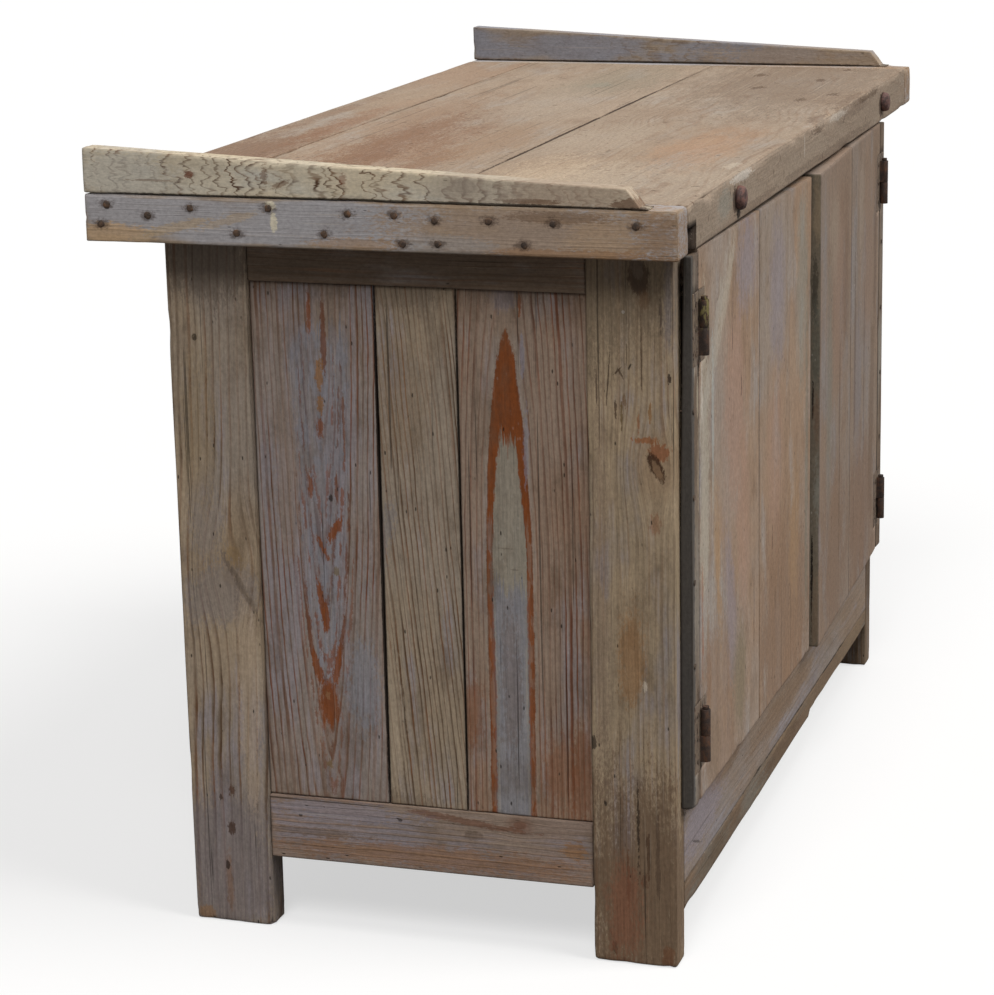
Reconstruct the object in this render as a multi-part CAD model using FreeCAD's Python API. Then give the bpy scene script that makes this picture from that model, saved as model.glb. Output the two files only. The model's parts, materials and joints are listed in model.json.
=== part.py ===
import FreeCAD, Part
import math
import os

# Weathered pine buffet cabinet: a plank-topped cupboard with framed ends and two plank doors.
# Millimetres, +Z up, front towards -Y, left end towards -X.
# The pieces are laid out from the left end's outer face and the legs' front face, then moved so that
# the origin lies on the floor under the middle of the whole cabinet.

V = FreeCAD.Vector

# Worktop
TOP_LENGTH = 1290.0
TOP_DEPTH = 624.0
WORK_HEIGHT = 800.0
TOP_THICKNESS = 50.0
TOP_FRONT_PLANK = 269.0
TOP_MIDDLE_PLANK = 262.0
TOP_EDGE_WEAR = 7.0
CLEAT_THICKNESS = 42.0
LEFT_OVERHANG = 38.0
FRONT_OVERHANG = 15.0

# Small notch under the left front corner of the worktop
NOTCH_WIDTH = 31.0
NOTCH_HEIGHT = 26.0
NOTCH_DEPTH = 40.0

# Lips on the end cleats
LIP_THICKNESS = 24.0
LIP_BACK_HEIGHT = 47.0
LIP_FRONT_HEIGHT = 20.0
LIP_SETBACK = 29.0
LIP_SLOPE = 16.0

# Tie bolts through the worktop planks, stations measured from the worktop's ends
TIE_BOLT_LEFT_STATION = 253.0
TIE_BOLT_RIGHT_STATION = 209.0
TIE_BOLT_DIAMETER = 12.0
TIE_BOLT_HEAD_DIAMETER = 26.0
TIE_BOLT_HEAD_HEIGHT = 10.0
TIE_BOLT_HEAD_ROUND = 4.0
TIE_NUT_FLATS = 22.0
TIE_NUT_HEIGHT = 10.0
TIE_NUT_POCKET_CLEARANCE = 3.0
TIE_NUT_POCKET_DEPTH = 14.0
TIE_BOLT_CLEARANCE = 0.4

# Case
CASE_LENGTH = 1073.0
CASE_DEPTH = 540.0
LEG_THICKNESS = 33.0
LEG_WIDTH = 90.0
LEG_FOOT_CHAMFER = 4.0

# End frames
RAIL_SETBACK = 2.0
RAIL_THICKNESS = 27.0
END_BOTTOM_RAIL_BASE = 80.0
END_BOTTOM_RAIL_HEIGHT = 71.0
END_TOP_RAIL_HEIGHT = 42.0
END_PLANK_SETBACK = 6.0
END_PLANK_THICKNESS = 16.0
END_FRONT_PLANK = 137.0
END_MIDDLE_PLANK = 86.0
TONGUE_LENGTH = 8.0
TONGUE_THICKNESS = 7.0
TENON_LENGTH = 40.0
TENON_THICKNESS = 10.0
TENON_SHOULDER = 9.0
JOINT_CLEARANCE = 0.2
BOARD_SEAM = 0.8

# Front and back rails
CROSS_TENON_LENGTH = 15.0
FRONT_RAIL_BASE = 82.0
FRONT_RAIL_HEIGHT = 74.0
FRONT_RAIL_THICKNESS = 26.0
FRONT_STRIP_HEIGHT = 32.0
FRONT_STRIP_THICKNESS = 26.0
FRONT_TOP_RAIL_HEIGHT = 45.0
FRONT_TOP_RAIL_THICKNESS = 26.0
STOP_CLEARANCE = 1.0
BACK_RAIL_THICKNESS = 26.0
BACK_TOP_RAIL_HEIGHT = 50.0
BACK_PLANK_THICKNESS = 18.0
BACK_PLANK_COUNT = 4

# Floor and shelf
FLOOR_DROP = 5.0
FLOOR_THICKNESS = 18.0
FLOOR_BOARD_COUNT = 3
FLOOR_CLEARANCE = 0.5
FLOOR_BEARER_HEIGHT = 25.0
FLOOR_BEARER_THICKNESS = 25.0
SHELF_RISE = 299.0
SHELF_THICKNESS = 18.0
SHELF_DEPTH = 300.0
SHELF_BOARD_COUNT = 2
SHELF_BEARER_HEIGHT = 25.0
SHELF_BEARER_THICKNESS = 30.0

# Hinge laths
LATH_WIDTH = 29.0
LATH_THICKNESS = 13.5
LATH_TOP_GAP = 4.0
LEFT_LATH_REVEAL = 16.0
RIGHT_LATH_REVEAL = 0.5
LEFT_LATH_BACK_TAPER = 4.5
LEFT_LATH_TAPER_LENGTH = 287.0

# Doors
DOOR_THICKNESS = 22.0
DOOR_BOTTOM_GAP = 13.0
DOOR_TOP_GAP = 3.0
LEFT_DOOR_WIDTH = 549.0
LEFT_DOOR_HINGE_PLANK = 274.0
RIGHT_DOOR_HINGE_PLANK = 218.0
LEFT_DOOR_SAG = 7.0
RIGHT_DOOR_SAG = 7.0
RIGHT_DOOR_AJAR = 1.4
HINGE_GAP = 1.6
MEETING_GAP = 3.0
LEDGE_HEIGHT = 70.0
LEDGE_THICKNESS = 20.0
LEDGE_INSET = 28.0
LOW_LEDGE_RISE = 95.0
HIGH_LEDGE_DROP = 160.0

# Hinges
LOW_HINGE_RISE = 72.0
HIGH_HINGE_DROP = 77.0
LEAF_HEIGHT = 74.0
LEAF_WIDTH = 23.0
LEAF_THICKNESS = 2.0
LEAF_CLEARANCE = 0.1
KNUCKLE_HEIGHT = 28.0
KNUCKLE_DIAMETER = 10.0
KNUCKLE_GAP = 0.4
KNUCKLE_STANDOFF = 0.5
KNUCKLE_WEB = 2.0
PIN_DIAMETER = 5.0
PIN_CLEARANCE = 0.05
PIN_HEAD_DIAMETER = 7.0
PIN_HEAD_HEIGHT = 3.0

# Nails: big ones in the cleats, small ones in doors, laths and hinge leaves
CLEAT_NAIL_HEAD_DIAMETER = 8.5
CLEAT_NAIL_HEAD_HEIGHT = 1.0
CLEAT_NAIL_DIAMETER = 3.6
CLEAT_NAIL_LENGTH = 62.0
CLEAT_NAIL_UPPER_DROP = 13.0
CLEAT_NAIL_LOWER_DROP = 36.0
SMALL_NAIL_HEAD_DIAMETER = 6.0
SMALL_NAIL_HEAD_HEIGHT = 0.8
SMALL_NAIL_DIAMETER = 2.6
LEAF_NAIL_LENGTH = 11.0
LEAF_NAIL_SPACING = 25.0
LEDGE_NAIL_LENGTH = 34.0
LEDGE_NAIL_SHARE = 0.25
LATH_NAIL_LENGTH = 32.0
LATH_NAIL_COUNT = 4
NAIL_CLEARANCE = 0.05

# Nail stations along a cleat, as shares of the worktop's depth from its front edge
UPPER_NAIL_SHARES = (0.07, 0.20, 0.31, 0.40, 0.46, 0.54, 0.68, 0.81, 0.89, 0.96)
LOWER_NAIL_SHARES = (0.25, 0.39, 0.45, 0.58, 0.73, 0.97)

# Heights and lines that several pieces share
CASE_HEIGHT = WORK_HEIGHT - TOP_THICKNESS
TOP_LEFT = -LEFT_OVERHANG
TOP_RIGHT = TOP_LEFT + TOP_LENGTH
TOP_FRONT = -FRONT_OVERHANG
TOP_BACK = TOP_FRONT + TOP_DEPTH
INNER_LEFT = LEG_THICKNESS
INNER_RIGHT = CASE_LENGTH - LEG_THICKNESS
BACK_LEG_FRONT = CASE_DEPTH - LEG_WIDTH
END_BOTTOM_RAIL_TOP = END_BOTTOM_RAIL_BASE + END_BOTTOM_RAIL_HEIGHT
END_TOP_RAIL_BASE = CASE_HEIGHT - END_TOP_RAIL_HEIGHT
FRONT_RAIL_TOP = FRONT_RAIL_BASE + FRONT_RAIL_HEIGHT
FLOOR_TOP = FRONT_RAIL_TOP - FLOOR_DROP
FLOOR_BASE = FLOOR_TOP - FLOOR_THICKNESS
SHELF_TOP = FLOOR_TOP + SHELF_RISE
BACK_RAIL_BACK = CASE_DEPTH - BACK_PLANK_THICKNESS
BACK_RAIL_FRONT = BACK_RAIL_BACK - BACK_RAIL_THICKNESS
DOOR_FRONT = -LATH_THICKNESS
DOOR_BACK = DOOR_FRONT + DOOR_THICKNESS
DOOR_BOTTOM = FRONT_RAIL_TOP + DOOR_BOTTOM_GAP
DOOR_TOP = CASE_HEIGHT - DOOR_TOP_GAP
LATH_TOP = CASE_HEIGHT - LATH_TOP_GAP
KNUCKLE_RADIUS = KNUCKLE_DIAMETER / 2
AXIS_Y = DOOR_FRONT - KNUCKLE_STANDOFF - KNUCKLE_RADIUS
LATH_INNER_DEPTH = {"left": LEG_THICKNESS + LEFT_LATH_REVEAL, "right": LEG_THICKNESS + RIGHT_LATH_REVEAL}
LEFT_AXIS_X = LATH_INNER_DEPTH["left"] + HINGE_GAP / 2
RIGHT_AXIS_X = CASE_LENGTH - LATH_INNER_DEPTH["right"] - HINGE_GAP / 2
RIGHT_DOOR_WIDTH = RIGHT_AXIS_X - LEFT_AXIS_X - HINGE_GAP - LEFT_DOOR_WIDTH - MEETING_GAP
TIE_BOLT_Z = WORK_HEIGHT - TOP_THICKNESS / 2

ENDS = ("left", "right")
LOW_HINGE_HEIGHT = DOOR_BOTTOM + LOW_HINGE_RISE
HIGH_HINGE_HEIGHT = DOOR_TOP - HIGH_HINGE_DROP
HINGE_HEIGHTS = (LOW_HINGE_HEIGHT, HIGH_HINGE_HEIGHT)
TIE_NUT_RADIUS = TIE_NUT_FLATS / 2 / math.cos(math.pi / 6)

nodes = {}


def keep(name, *solids):
    """Files solids under the name of the piece that they make."""
    nodes.setdefault(name, []).extend(solids)


def block(x0, x1, y0, y1, z0, z1):
    return Part.makeBox(x1 - x0, y1 - y0, z1 - z0, V(x0, y0, z0))


def end_block(end, depth0, depth1, y0, y1, z0, z1):
    """A block placed by its depth inward from one end's outer face."""
    if end == "left":
        return block(depth0, depth1, y0, y1, z0, z1)
    return block(CASE_LENGTH - depth1, CASE_LENGTH - depth0, y0, y1, z0, z1)


def prism_along_y(points, y0, y1):
    """Extrudes an outline of (x, z) points from y0 to y1."""
    corners = [V(x, y0, z) for x, z in points]
    face = Part.Face(Part.makePolygon(corners + corners[:1]))
    return face.extrude(V(0, y1 - y0, 0))


def prism_along_x(points, x0, x1):
    """Extrudes an outline of (y, z) points from x0 to x1."""
    corners = [V(x0, y, z) for y, z in points]
    face = Part.Face(Part.makePolygon(corners + corners[:1]))
    return face.extrude(V(x1 - x0, 0, 0))


def nail(point, direction, head_diameter, head_height, diameter, length):
    """A nail whose head lies on the surface at the point, driven along the direction."""
    head = Part.makeCylinder(head_diameter / 2, head_height, point - direction * head_height, direction)
    shank = Part.makeCylinder(diameter / 2, length, point, direction)
    return head.fuse(shank).removeSplitter()


def nail_hole(point, direction, diameter, length):
    return Part.makeCylinder(diameter / 2 + NAIL_CLEARANCE, length + NAIL_CLEARANCE, point, direction)


def small_nail(point, direction, length):
    return nail(point, direction, SMALL_NAIL_HEAD_DIAMETER, SMALL_NAIL_HEAD_HEIGHT, SMALL_NAIL_DIAMETER, length)


def small_nail_hole(point, direction, length):
    return nail_hole(point, direction, SMALL_NAIL_DIAMETER, length)


def cut_all(solid, tools):
    """Cuts only the tools that reach the solid."""
    near = [t for t in tools if t.BoundBox.intersect(solid.BoundBox)]
    return solid.cut(near) if near else solid


def spread(low, high, count):
    """Start and end of each of several equal boards with seams between them."""
    width = (high - low - BOARD_SEAM * (count - 1)) / count
    return [(low + i * (width + BOARD_SEAM), low + i * (width + BOARD_SEAM) + width) for i in range(count)]


# Rails that run front to back in each end frame, as (base, top)
END_RAILS = {
    "bottom": (END_BOTTOM_RAIL_BASE, END_BOTTOM_RAIL_TOP),
    "top": (END_TOP_RAIL_BASE, CASE_HEIGHT),
}

# Rails that run from end to end, as (front, back, base, top)
FRONT_RAILS = {
    "front_bottom_rail": (0.0, FRONT_RAIL_THICKNESS, FRONT_RAIL_BASE, FRONT_RAIL_TOP),
    "front_top_rail": (DOOR_BACK + STOP_CLEARANCE, DOOR_BACK + STOP_CLEARANCE + FRONT_TOP_RAIL_THICKNESS,
                       CASE_HEIGHT - FRONT_TOP_RAIL_HEIGHT, CASE_HEIGHT),
}
BACK_RAILS = {
    "back_bottom_rail": (BACK_RAIL_FRONT, BACK_RAIL_BACK, END_BOTTOM_RAIL_BASE, END_BOTTOM_RAIL_TOP),
    "back_top_rail": (BACK_RAIL_FRONT, BACK_RAIL_BACK, CASE_HEIGHT - BACK_TOP_RAIL_HEIGHT, CASE_HEIGHT),
}


def end_tenon(end, rail, place, slack):
    """The tenon of an end rail in the front or back leg, or its mortise when slack is given."""
    base, top = END_RAILS[rail]
    middle = RAIL_SETBACK + RAIL_THICKNESS / 2
    half = TENON_THICKNESS / 2 + slack
    if place == "front":
        y0, y1 = LEG_WIDTH - TENON_LENGTH - slack, LEG_WIDTH
    else:
        y0, y1 = BACK_LEG_FRONT, BACK_LEG_FRONT + TENON_LENGTH + slack
    low, high = base + TENON_SHOULDER - slack, top - TENON_SHOULDER + slack
    return end_block(end, middle - half, middle + half, y0, y1, low, high)


def cross_tenon(end, rail, slack):
    """The tenon of a front or back rail in a leg's inner face, or its mortise when slack is given."""
    y0, y1, base, top = rail
    middle = (y0 + y1) / 2
    half = TENON_THICKNESS / 2 + slack
    depth0, depth1 = LEG_THICKNESS - CROSS_TENON_LENGTH - slack, LEG_THICKNESS
    low, high = base + TENON_SHOULDER - slack, top - TENON_SHOULDER + slack
    return end_block(end, depth0, depth1, middle - half, middle + half, low, high)


def hinge_axis(end):
    return LEFT_AXIS_X if end == "left" else RIGHT_AXIS_X


def door_x(end, u):
    """X of a point that lies u away from the hinge axis, towards the meeting edge when positive."""
    return LEFT_AXIS_X + u if end == "left" else RIGHT_AXIS_X - u


def door_block(end, u0, u1, y0, y1, z0, z1):
    xs = sorted((door_x(end, u0), door_x(end, u1)))
    return block(xs[0], xs[1], y0, y1, z0, z1)


def leaf_nail_points(end, side):
    """Nail heads on a hinge leaf; side is -1 on the lath and 1 on the door."""
    x = door_x(end, side * (HINGE_GAP / 2 + LEAF_WIDTH / 2))
    return [V(x, DOOR_FRONT, z + i * LEAF_NAIL_SPACING) for z in HINGE_HEIGHTS for i in (-1, 0, 1)]


def leaf_pockets(end, side):
    """Shallow pockets that let the leaves lie flush in the lath or the door."""
    slack = LEAF_CLEARANCE
    inner, outer = side * HINGE_GAP / 2, side * (HINGE_GAP / 2 + LEAF_WIDTH + slack)
    half = LEAF_HEIGHT / 2 + slack
    back = DOOR_FRONT + LEAF_THICKNESS
    return [door_block(end, inner, outer, DOOR_FRONT, back, z - half, z + half) for z in HINGE_HEIGHTS]


def hinge_leaves(end, side):
    """Leaf plates with their half of the knuckle: lower half on the lath, upper half on the door."""
    made = []
    holes = [small_nail_hole(p, V(0, 1, 0), LEAF_THICKNESS) for p in leaf_nail_points(end, side)]
    axis_x = hinge_axis(end)
    for height in HINGE_HEIGHTS:
        inner, outer = side * HINGE_GAP / 2, side * (HINGE_GAP / 2 + LEAF_WIDTH)
        half = LEAF_HEIGHT / 2
        plate = door_block(end, inner, outer, DOOR_FRONT, DOOR_FRONT + LEAF_THICKNESS, height - half, height + half)
        low = height - KNUCKLE_HEIGHT if side < 0 else height + KNUCKLE_GAP
        high = low + KNUCKLE_HEIGHT
        web_outer = side * KNUCKLE_RADIUS
        web_inner = side * (KNUCKLE_RADIUS - KNUCKLE_WEB)
        web = door_block(end, web_inner, web_outer, AXIS_Y, DOOR_FRONT, low, high)
        barrel = Part.makeCylinder(KNUCKLE_RADIUS, KNUCKLE_HEIGHT, V(axis_x, AXIS_Y, low))
        bore = Part.makeCylinder(PIN_DIAMETER / 2 + PIN_CLEARANCE, KNUCKLE_HEIGHT, V(axis_x, AXIS_Y, low))
        leaf = plate.fuse([web, barrel]).removeSplitter()
        made.append(cut_all(leaf.cut(bore), holes))
    return made


def make_legs():
    for end in ENDS:
        for place in ("front", "back"):
            y0 = 0.0 if place == "front" else BACK_LEG_FRONT
            leg = end_block(end, 0, LEG_THICKNESS, y0, y0 + LEG_WIDTH, 0, CASE_HEIGHT)
            feet = [e for e in leg.Edges if max(v.Z for v in e.Vertexes) == 0]
            leg = leg.makeChamfer(min(LEG_FOOT_CHAMFER, LEG_THICKNESS / 3), feet)
            rails = FRONT_RAILS if place == "front" else BACK_RAILS
            mortises = [end_tenon(end, rail, place, JOINT_CLEARANCE) for rail in END_RAILS]
            mortises += [cross_tenon(end, rail, JOINT_CLEARANCE) for rail in rails.values()]
            if place == "front":
                mortises += [small_nail_hole(p, V(0, 1, 0), LATH_NAIL_LENGTH) for p in lath_nail_points(end)]
            keep("leg_%s_%s" % (place, end), cut_all(leg, mortises))


def make_end_frames():
    plank_middle = END_PLANK_SETBACK + END_PLANK_THICKNESS / 2
    for end in ENDS:
        for rail, (base, top) in END_RAILS.items():
            depth0, depth1 = RAIL_SETBACK, RAIL_SETBACK + RAIL_THICKNESS
            solid = end_block(end, depth0, depth1, LEG_WIDTH, BACK_LEG_FRONT, base, top)
            solid = solid.fuse([end_tenon(end, rail, place, 0) for place in ("front", "back")]).removeSplitter()
            half = TONGUE_THICKNESS / 2 + JOINT_CLEARANCE
            reach = TONGUE_LENGTH + JOINT_CLEARANCE
            low, high = (top - reach, top) if rail == "bottom" else (base, base + reach)
            groove = end_block(end, plank_middle - half, plank_middle + half, LEG_WIDTH, BACK_LEG_FRONT, low, high)
            keep("end_%s_rail_%s" % (rail, end), solid.cut(groove))
        front = LEG_WIDTH
        middle = front + END_FRONT_PLANK + BOARD_SEAM
        back = middle + END_MIDDLE_PLANK + BOARD_SEAM
        planks = {
            "front": (front, front + END_FRONT_PLANK),
            "middle": (middle, middle + END_MIDDLE_PLANK),
            "back": (back, BACK_LEG_FRONT),
        }
        for name, (y0, y1) in planks.items():
            depth0, depth1 = END_PLANK_SETBACK, END_PLANK_SETBACK + END_PLANK_THICKNESS
            board = end_block(end, depth0, depth1, y0, y1, END_BOTTOM_RAIL_TOP, END_TOP_RAIL_BASE)
            half = TONGUE_THICKNESS / 2
            tongue = end_block(end, plank_middle - half, plank_middle + half, y0, y1,
                               END_BOTTOM_RAIL_TOP - TONGUE_LENGTH, END_TOP_RAIL_BASE + TONGUE_LENGTH)
            keep("end_plank_%s_%s" % (name, end), board.fuse(tongue).removeSplitter())


def make_cross_rails():
    for name, rail in list(FRONT_RAILS.items()) + list(BACK_RAILS.items()):
        y0, y1, base, top = rail
        solid = block(INNER_LEFT, INNER_RIGHT, y0, y1, base, top)
        keep(name, solid.fuse([cross_tenon(end, rail, 0) for end in ENDS]).removeSplitter())
    keep("front_bottom_strip", block(INNER_LEFT, INNER_RIGHT, 0, FRONT_STRIP_THICKNESS,
                                     FRONT_RAIL_BASE - FRONT_STRIP_HEIGHT, FRONT_RAIL_BASE))


def make_back():
    boards = spread(INNER_LEFT, INNER_RIGHT, BACK_PLANK_COUNT)
    for i, (x0, x1) in enumerate(boards):
        keep("back_plank_%d" % (i + 1), block(x0, x1, BACK_RAIL_BACK, CASE_DEPTH, END_BOTTOM_RAIL_BASE, CASE_HEIGHT))


def make_floor_and_shelf():
    left, right = INNER_LEFT + FLOOR_CLEARANCE, INNER_RIGHT - FLOOR_CLEARANCE
    floor_front, floor_back = FRONT_RAIL_THICKNESS + FLOOR_CLEARANCE, BACK_RAIL_FRONT - FLOOR_CLEARANCE
    for i, (y0, y1) in enumerate(spread(floor_front, floor_back, FLOOR_BOARD_COUNT)):
        keep("floor_board_%d" % (i + 1), block(left, right, y0, y1, FLOOR_BASE, FLOOR_TOP))
    shelf_base = SHELF_TOP - SHELF_THICKNESS
    shelf_front = floor_back - SHELF_DEPTH
    for i, (y0, y1) in enumerate(spread(shelf_front, floor_back, SHELF_BOARD_COUNT)):
        keep("shelf_board_%d" % (i + 1), block(left, right, y0, y1, shelf_base, SHELF_TOP))
    rail_inside = RAIL_SETBACK + RAIL_THICKNESS
    plank_inside = END_PLANK_SETBACK + END_PLANK_THICKNESS
    for end in ENDS:
        keep("floor_bearer_%s" % end, end_block(end, rail_inside, rail_inside + FLOOR_BEARER_THICKNESS,
                                                LEG_WIDTH, BACK_LEG_FRONT,
                                                FLOOR_BASE - FLOOR_BEARER_HEIGHT, FLOOR_BASE))
        keep("shelf_bearer_%s" % end, end_block(end, plank_inside, plank_inside + SHELF_BEARER_THICKNESS,
                                                max(shelf_front, LEG_WIDTH), BACK_LEG_FRONT,
                                                shelf_base - SHELF_BEARER_HEIGHT, shelf_base))


def cleat_nail_points(end):
    """Heads of the nails on a cleat's outer face, in two uneven rows."""
    x = TOP_LEFT if end == "left" else TOP_RIGHT
    upper = [(share, CLEAT_NAIL_UPPER_DROP) for share in UPPER_NAIL_SHARES]
    lower = [(share, CLEAT_NAIL_LOWER_DROP) for share in LOWER_NAIL_SHARES]
    return [V(x, TOP_FRONT + share * TOP_DEPTH, WORK_HEIGHT - drop) for share, drop in upper + lower]


def tie_bolt_stations():
    return (TOP_LEFT + TIE_BOLT_LEFT_STATION, TOP_RIGHT - TIE_BOLT_RIGHT_STATION)


def tie_bolt_bore(x, slack):
    return Part.makeCylinder(TIE_BOLT_DIAMETER / 2 + slack, TOP_DEPTH, V(x, TOP_FRONT, TIE_BOLT_Z), V(0, 1, 0))


def make_tie_bolts():
    back = TOP_BACK - TIE_NUT_POCKET_DEPTH
    for x in tie_bolt_stations():
        head = Part.makeCylinder(TIE_BOLT_HEAD_DIAMETER / 2, TIE_BOLT_HEAD_HEIGHT,
                                 V(x, TOP_FRONT - TIE_BOLT_HEAD_HEIGHT, TIE_BOLT_Z), V(0, 1, 0))
        rim = [e for e in head.Edges if e.BoundBox.YMax < TOP_FRONT - TIE_BOLT_HEAD_HEIGHT / 2 and e.Closed]
        head = head.makeFillet(min(TIE_BOLT_HEAD_ROUND, TIE_BOLT_HEAD_HEIGHT / 2), rim)
        rod = Part.makeCylinder(TIE_BOLT_DIAMETER / 2, back + TIE_NUT_HEIGHT - TOP_FRONT,
                                V(x, TOP_FRONT, TIE_BOLT_Z), V(0, 1, 0))
        keep("tie_bolts", head.fuse(rod).removeSplitter())
        turns = [math.pi / 3 * i for i in range(6)]
        corners = [(x + TIE_NUT_RADIUS * math.cos(t), TIE_BOLT_Z + TIE_NUT_RADIUS * math.sin(t)) for t in turns]
        nut = prism_along_y(corners, back, back + TIE_NUT_HEIGHT)
        keep("tie_bolt_nuts", nut.cut(tie_bolt_bore(x, PIN_CLEARANCE)))


def worktop_holes():
    """Bores for the tie bolts and the cleat nails."""
    holes = []
    for x in tie_bolt_stations():
        holes.append(tie_bolt_bore(x, TIE_BOLT_CLEARANCE))
        holes.append(Part.makeCylinder(TIE_NUT_RADIUS + TIE_NUT_POCKET_CLEARANCE, TIE_NUT_POCKET_DEPTH,
                                       V(x, TOP_BACK - TIE_NUT_POCKET_DEPTH, TIE_BOLT_Z), V(0, 1, 0)))
    for end in ENDS:
        inward = V(1, 0, 0) if end == "left" else V(-1, 0, 0)
        holes += [nail_hole(p, inward, CLEAT_NAIL_DIAMETER, CLEAT_NAIL_LENGTH) for p in cleat_nail_points(end)]
    return holes


def worn_front(board):
    """Rounds the upper front edge, worn by use."""
    edges = [e for e in board.Edges
             if all(abs(v.Y - TOP_FRONT) < 0.01 and abs(v.Z - WORK_HEIGHT) < 0.01 for v in e.Vertexes)]
    return board.makeFillet(min(TOP_EDGE_WEAR, TOP_THICKNESS / 3), edges)


def make_worktop():
    base = WORK_HEIGHT - TOP_THICKNESS
    left, right = TOP_LEFT + CLEAT_THICKNESS, TOP_RIGHT - CLEAT_THICKNESS
    holes = worktop_holes()
    front_back = TOP_FRONT + TOP_FRONT_PLANK
    middle_front = front_back + BOARD_SEAM
    middle_back = middle_front + TOP_MIDDLE_PLANK
    front = worn_front(block(left, right, TOP_FRONT, front_back, base, WORK_HEIGHT))
    notch = block(left, left + NOTCH_WIDTH, TOP_FRONT, TOP_FRONT + NOTCH_DEPTH, base, base + NOTCH_HEIGHT)
    keep("top_plank_front", cut_all(front.cut(notch), holes))
    keep("top_plank_middle", cut_all(block(left, right, middle_front, middle_back, base, WORK_HEIGHT), holes))
    back = block(left, right, middle_back + BOARD_SEAM, TOP_BACK, base, WORK_HEIGHT)
    keep("top_plank_back", cut_all(back, holes))
    lip_front = TOP_FRONT + LIP_SETBACK
    lip = [(lip_front, WORK_HEIGHT), (lip_front + LIP_SLOPE, WORK_HEIGHT + LIP_FRONT_HEIGHT),
           (TOP_BACK, WORK_HEIGHT + LIP_BACK_HEIGHT), (TOP_BACK, WORK_HEIGHT)]
    for end in ENDS:
        outer = TOP_LEFT if end == "left" else TOP_RIGHT
        sign = 1 if end == "left" else -1
        xs = sorted((outer, outer + sign * CLEAT_THICKNESS))
        cleat = worn_front(block(xs[0], xs[1], TOP_FRONT, TOP_BACK, base, WORK_HEIGHT))
        keep("top_cleat_%s" % end, cut_all(cleat, holes))
        keep("end_lip_%s" % end, prism_along_x(lip, outer, outer + sign * LIP_THICKNESS))
        for p in cleat_nail_points(end):
            keep("cleat_nails", nail(p, V(sign, 0, 0), CLEAT_NAIL_HEAD_DIAMETER, CLEAT_NAIL_HEAD_HEIGHT,
                                     CLEAT_NAIL_DIAMETER, CLEAT_NAIL_LENGTH))


def lath_nail_points(end):
    """Nails between the hinges, over the part of the lath that lies on the leg."""
    seat = (LATH_INNER_DEPTH[end] - LATH_WIDTH + LEG_THICKNESS) / 2
    x = seat if end == "left" else CASE_LENGTH - seat
    low, high = LOW_HINGE_HEIGHT + LEAF_HEIGHT / 2, HIGH_HINGE_HEIGHT - LEAF_HEIGHT / 2
    step = (high - low) / LATH_NAIL_COUNT
    return [V(x, DOOR_FRONT, low + (i + 0.5) * step) for i in range(LATH_NAIL_COUNT)]


def make_laths():
    for end in ENDS:
        inner = LATH_INNER_DEPTH[end]
        lath = end_block(end, inner - LATH_WIDTH, inner, DOOR_FRONT, 0, DOOR_BOTTOM, LATH_TOP)
        if end == "left":
            start = LATH_TOP - LEFT_LATH_TAPER_LENGTH
            sliver = [(0, start), (0, LATH_TOP), (-LEFT_LATH_BACK_TAPER, LATH_TOP)]
            lath = lath.cut(prism_along_x(sliver, inner - LATH_WIDTH, inner))
        holes = [small_nail_hole(p, V(0, 1, 0), LATH_NAIL_LENGTH) for p in lath_nail_points(end)]
        holes += [small_nail_hole(p, V(0, 1, 0), LEAF_NAIL_LENGTH) for p in leaf_nail_points(end, -1)]
        keep("hinge_lath_%s" % end, cut_all(lath, leaf_pockets(end, -1) + holes))
        keep("lath_nails", *[small_nail(p, V(0, 1, 0), LATH_NAIL_LENGTH) for p in lath_nail_points(end)])
        keep("lath_nails", *[small_nail(p, V(0, 1, 0), LEAF_NAIL_LENGTH) for p in leaf_nail_points(end, -1)])
        keep("hinge_frame_leaves", *hinge_leaves(end, -1))
        for height in HINGE_HEIGHTS:
            low, high = height - KNUCKLE_HEIGHT, height + KNUCKLE_GAP + KNUCKLE_HEIGHT + KNUCKLE_GAP
            foot = V(hinge_axis(end), AXIS_Y, low)
            pin = Part.makeCylinder(PIN_DIAMETER / 2, high - low, foot)
            head = Part.makeCylinder(PIN_HEAD_DIAMETER / 2, PIN_HEAD_HEIGHT, V(hinge_axis(end), AXIS_Y, high))
            keep("hinge_pins", pin.fuse(head).removeSplitter())


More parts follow.
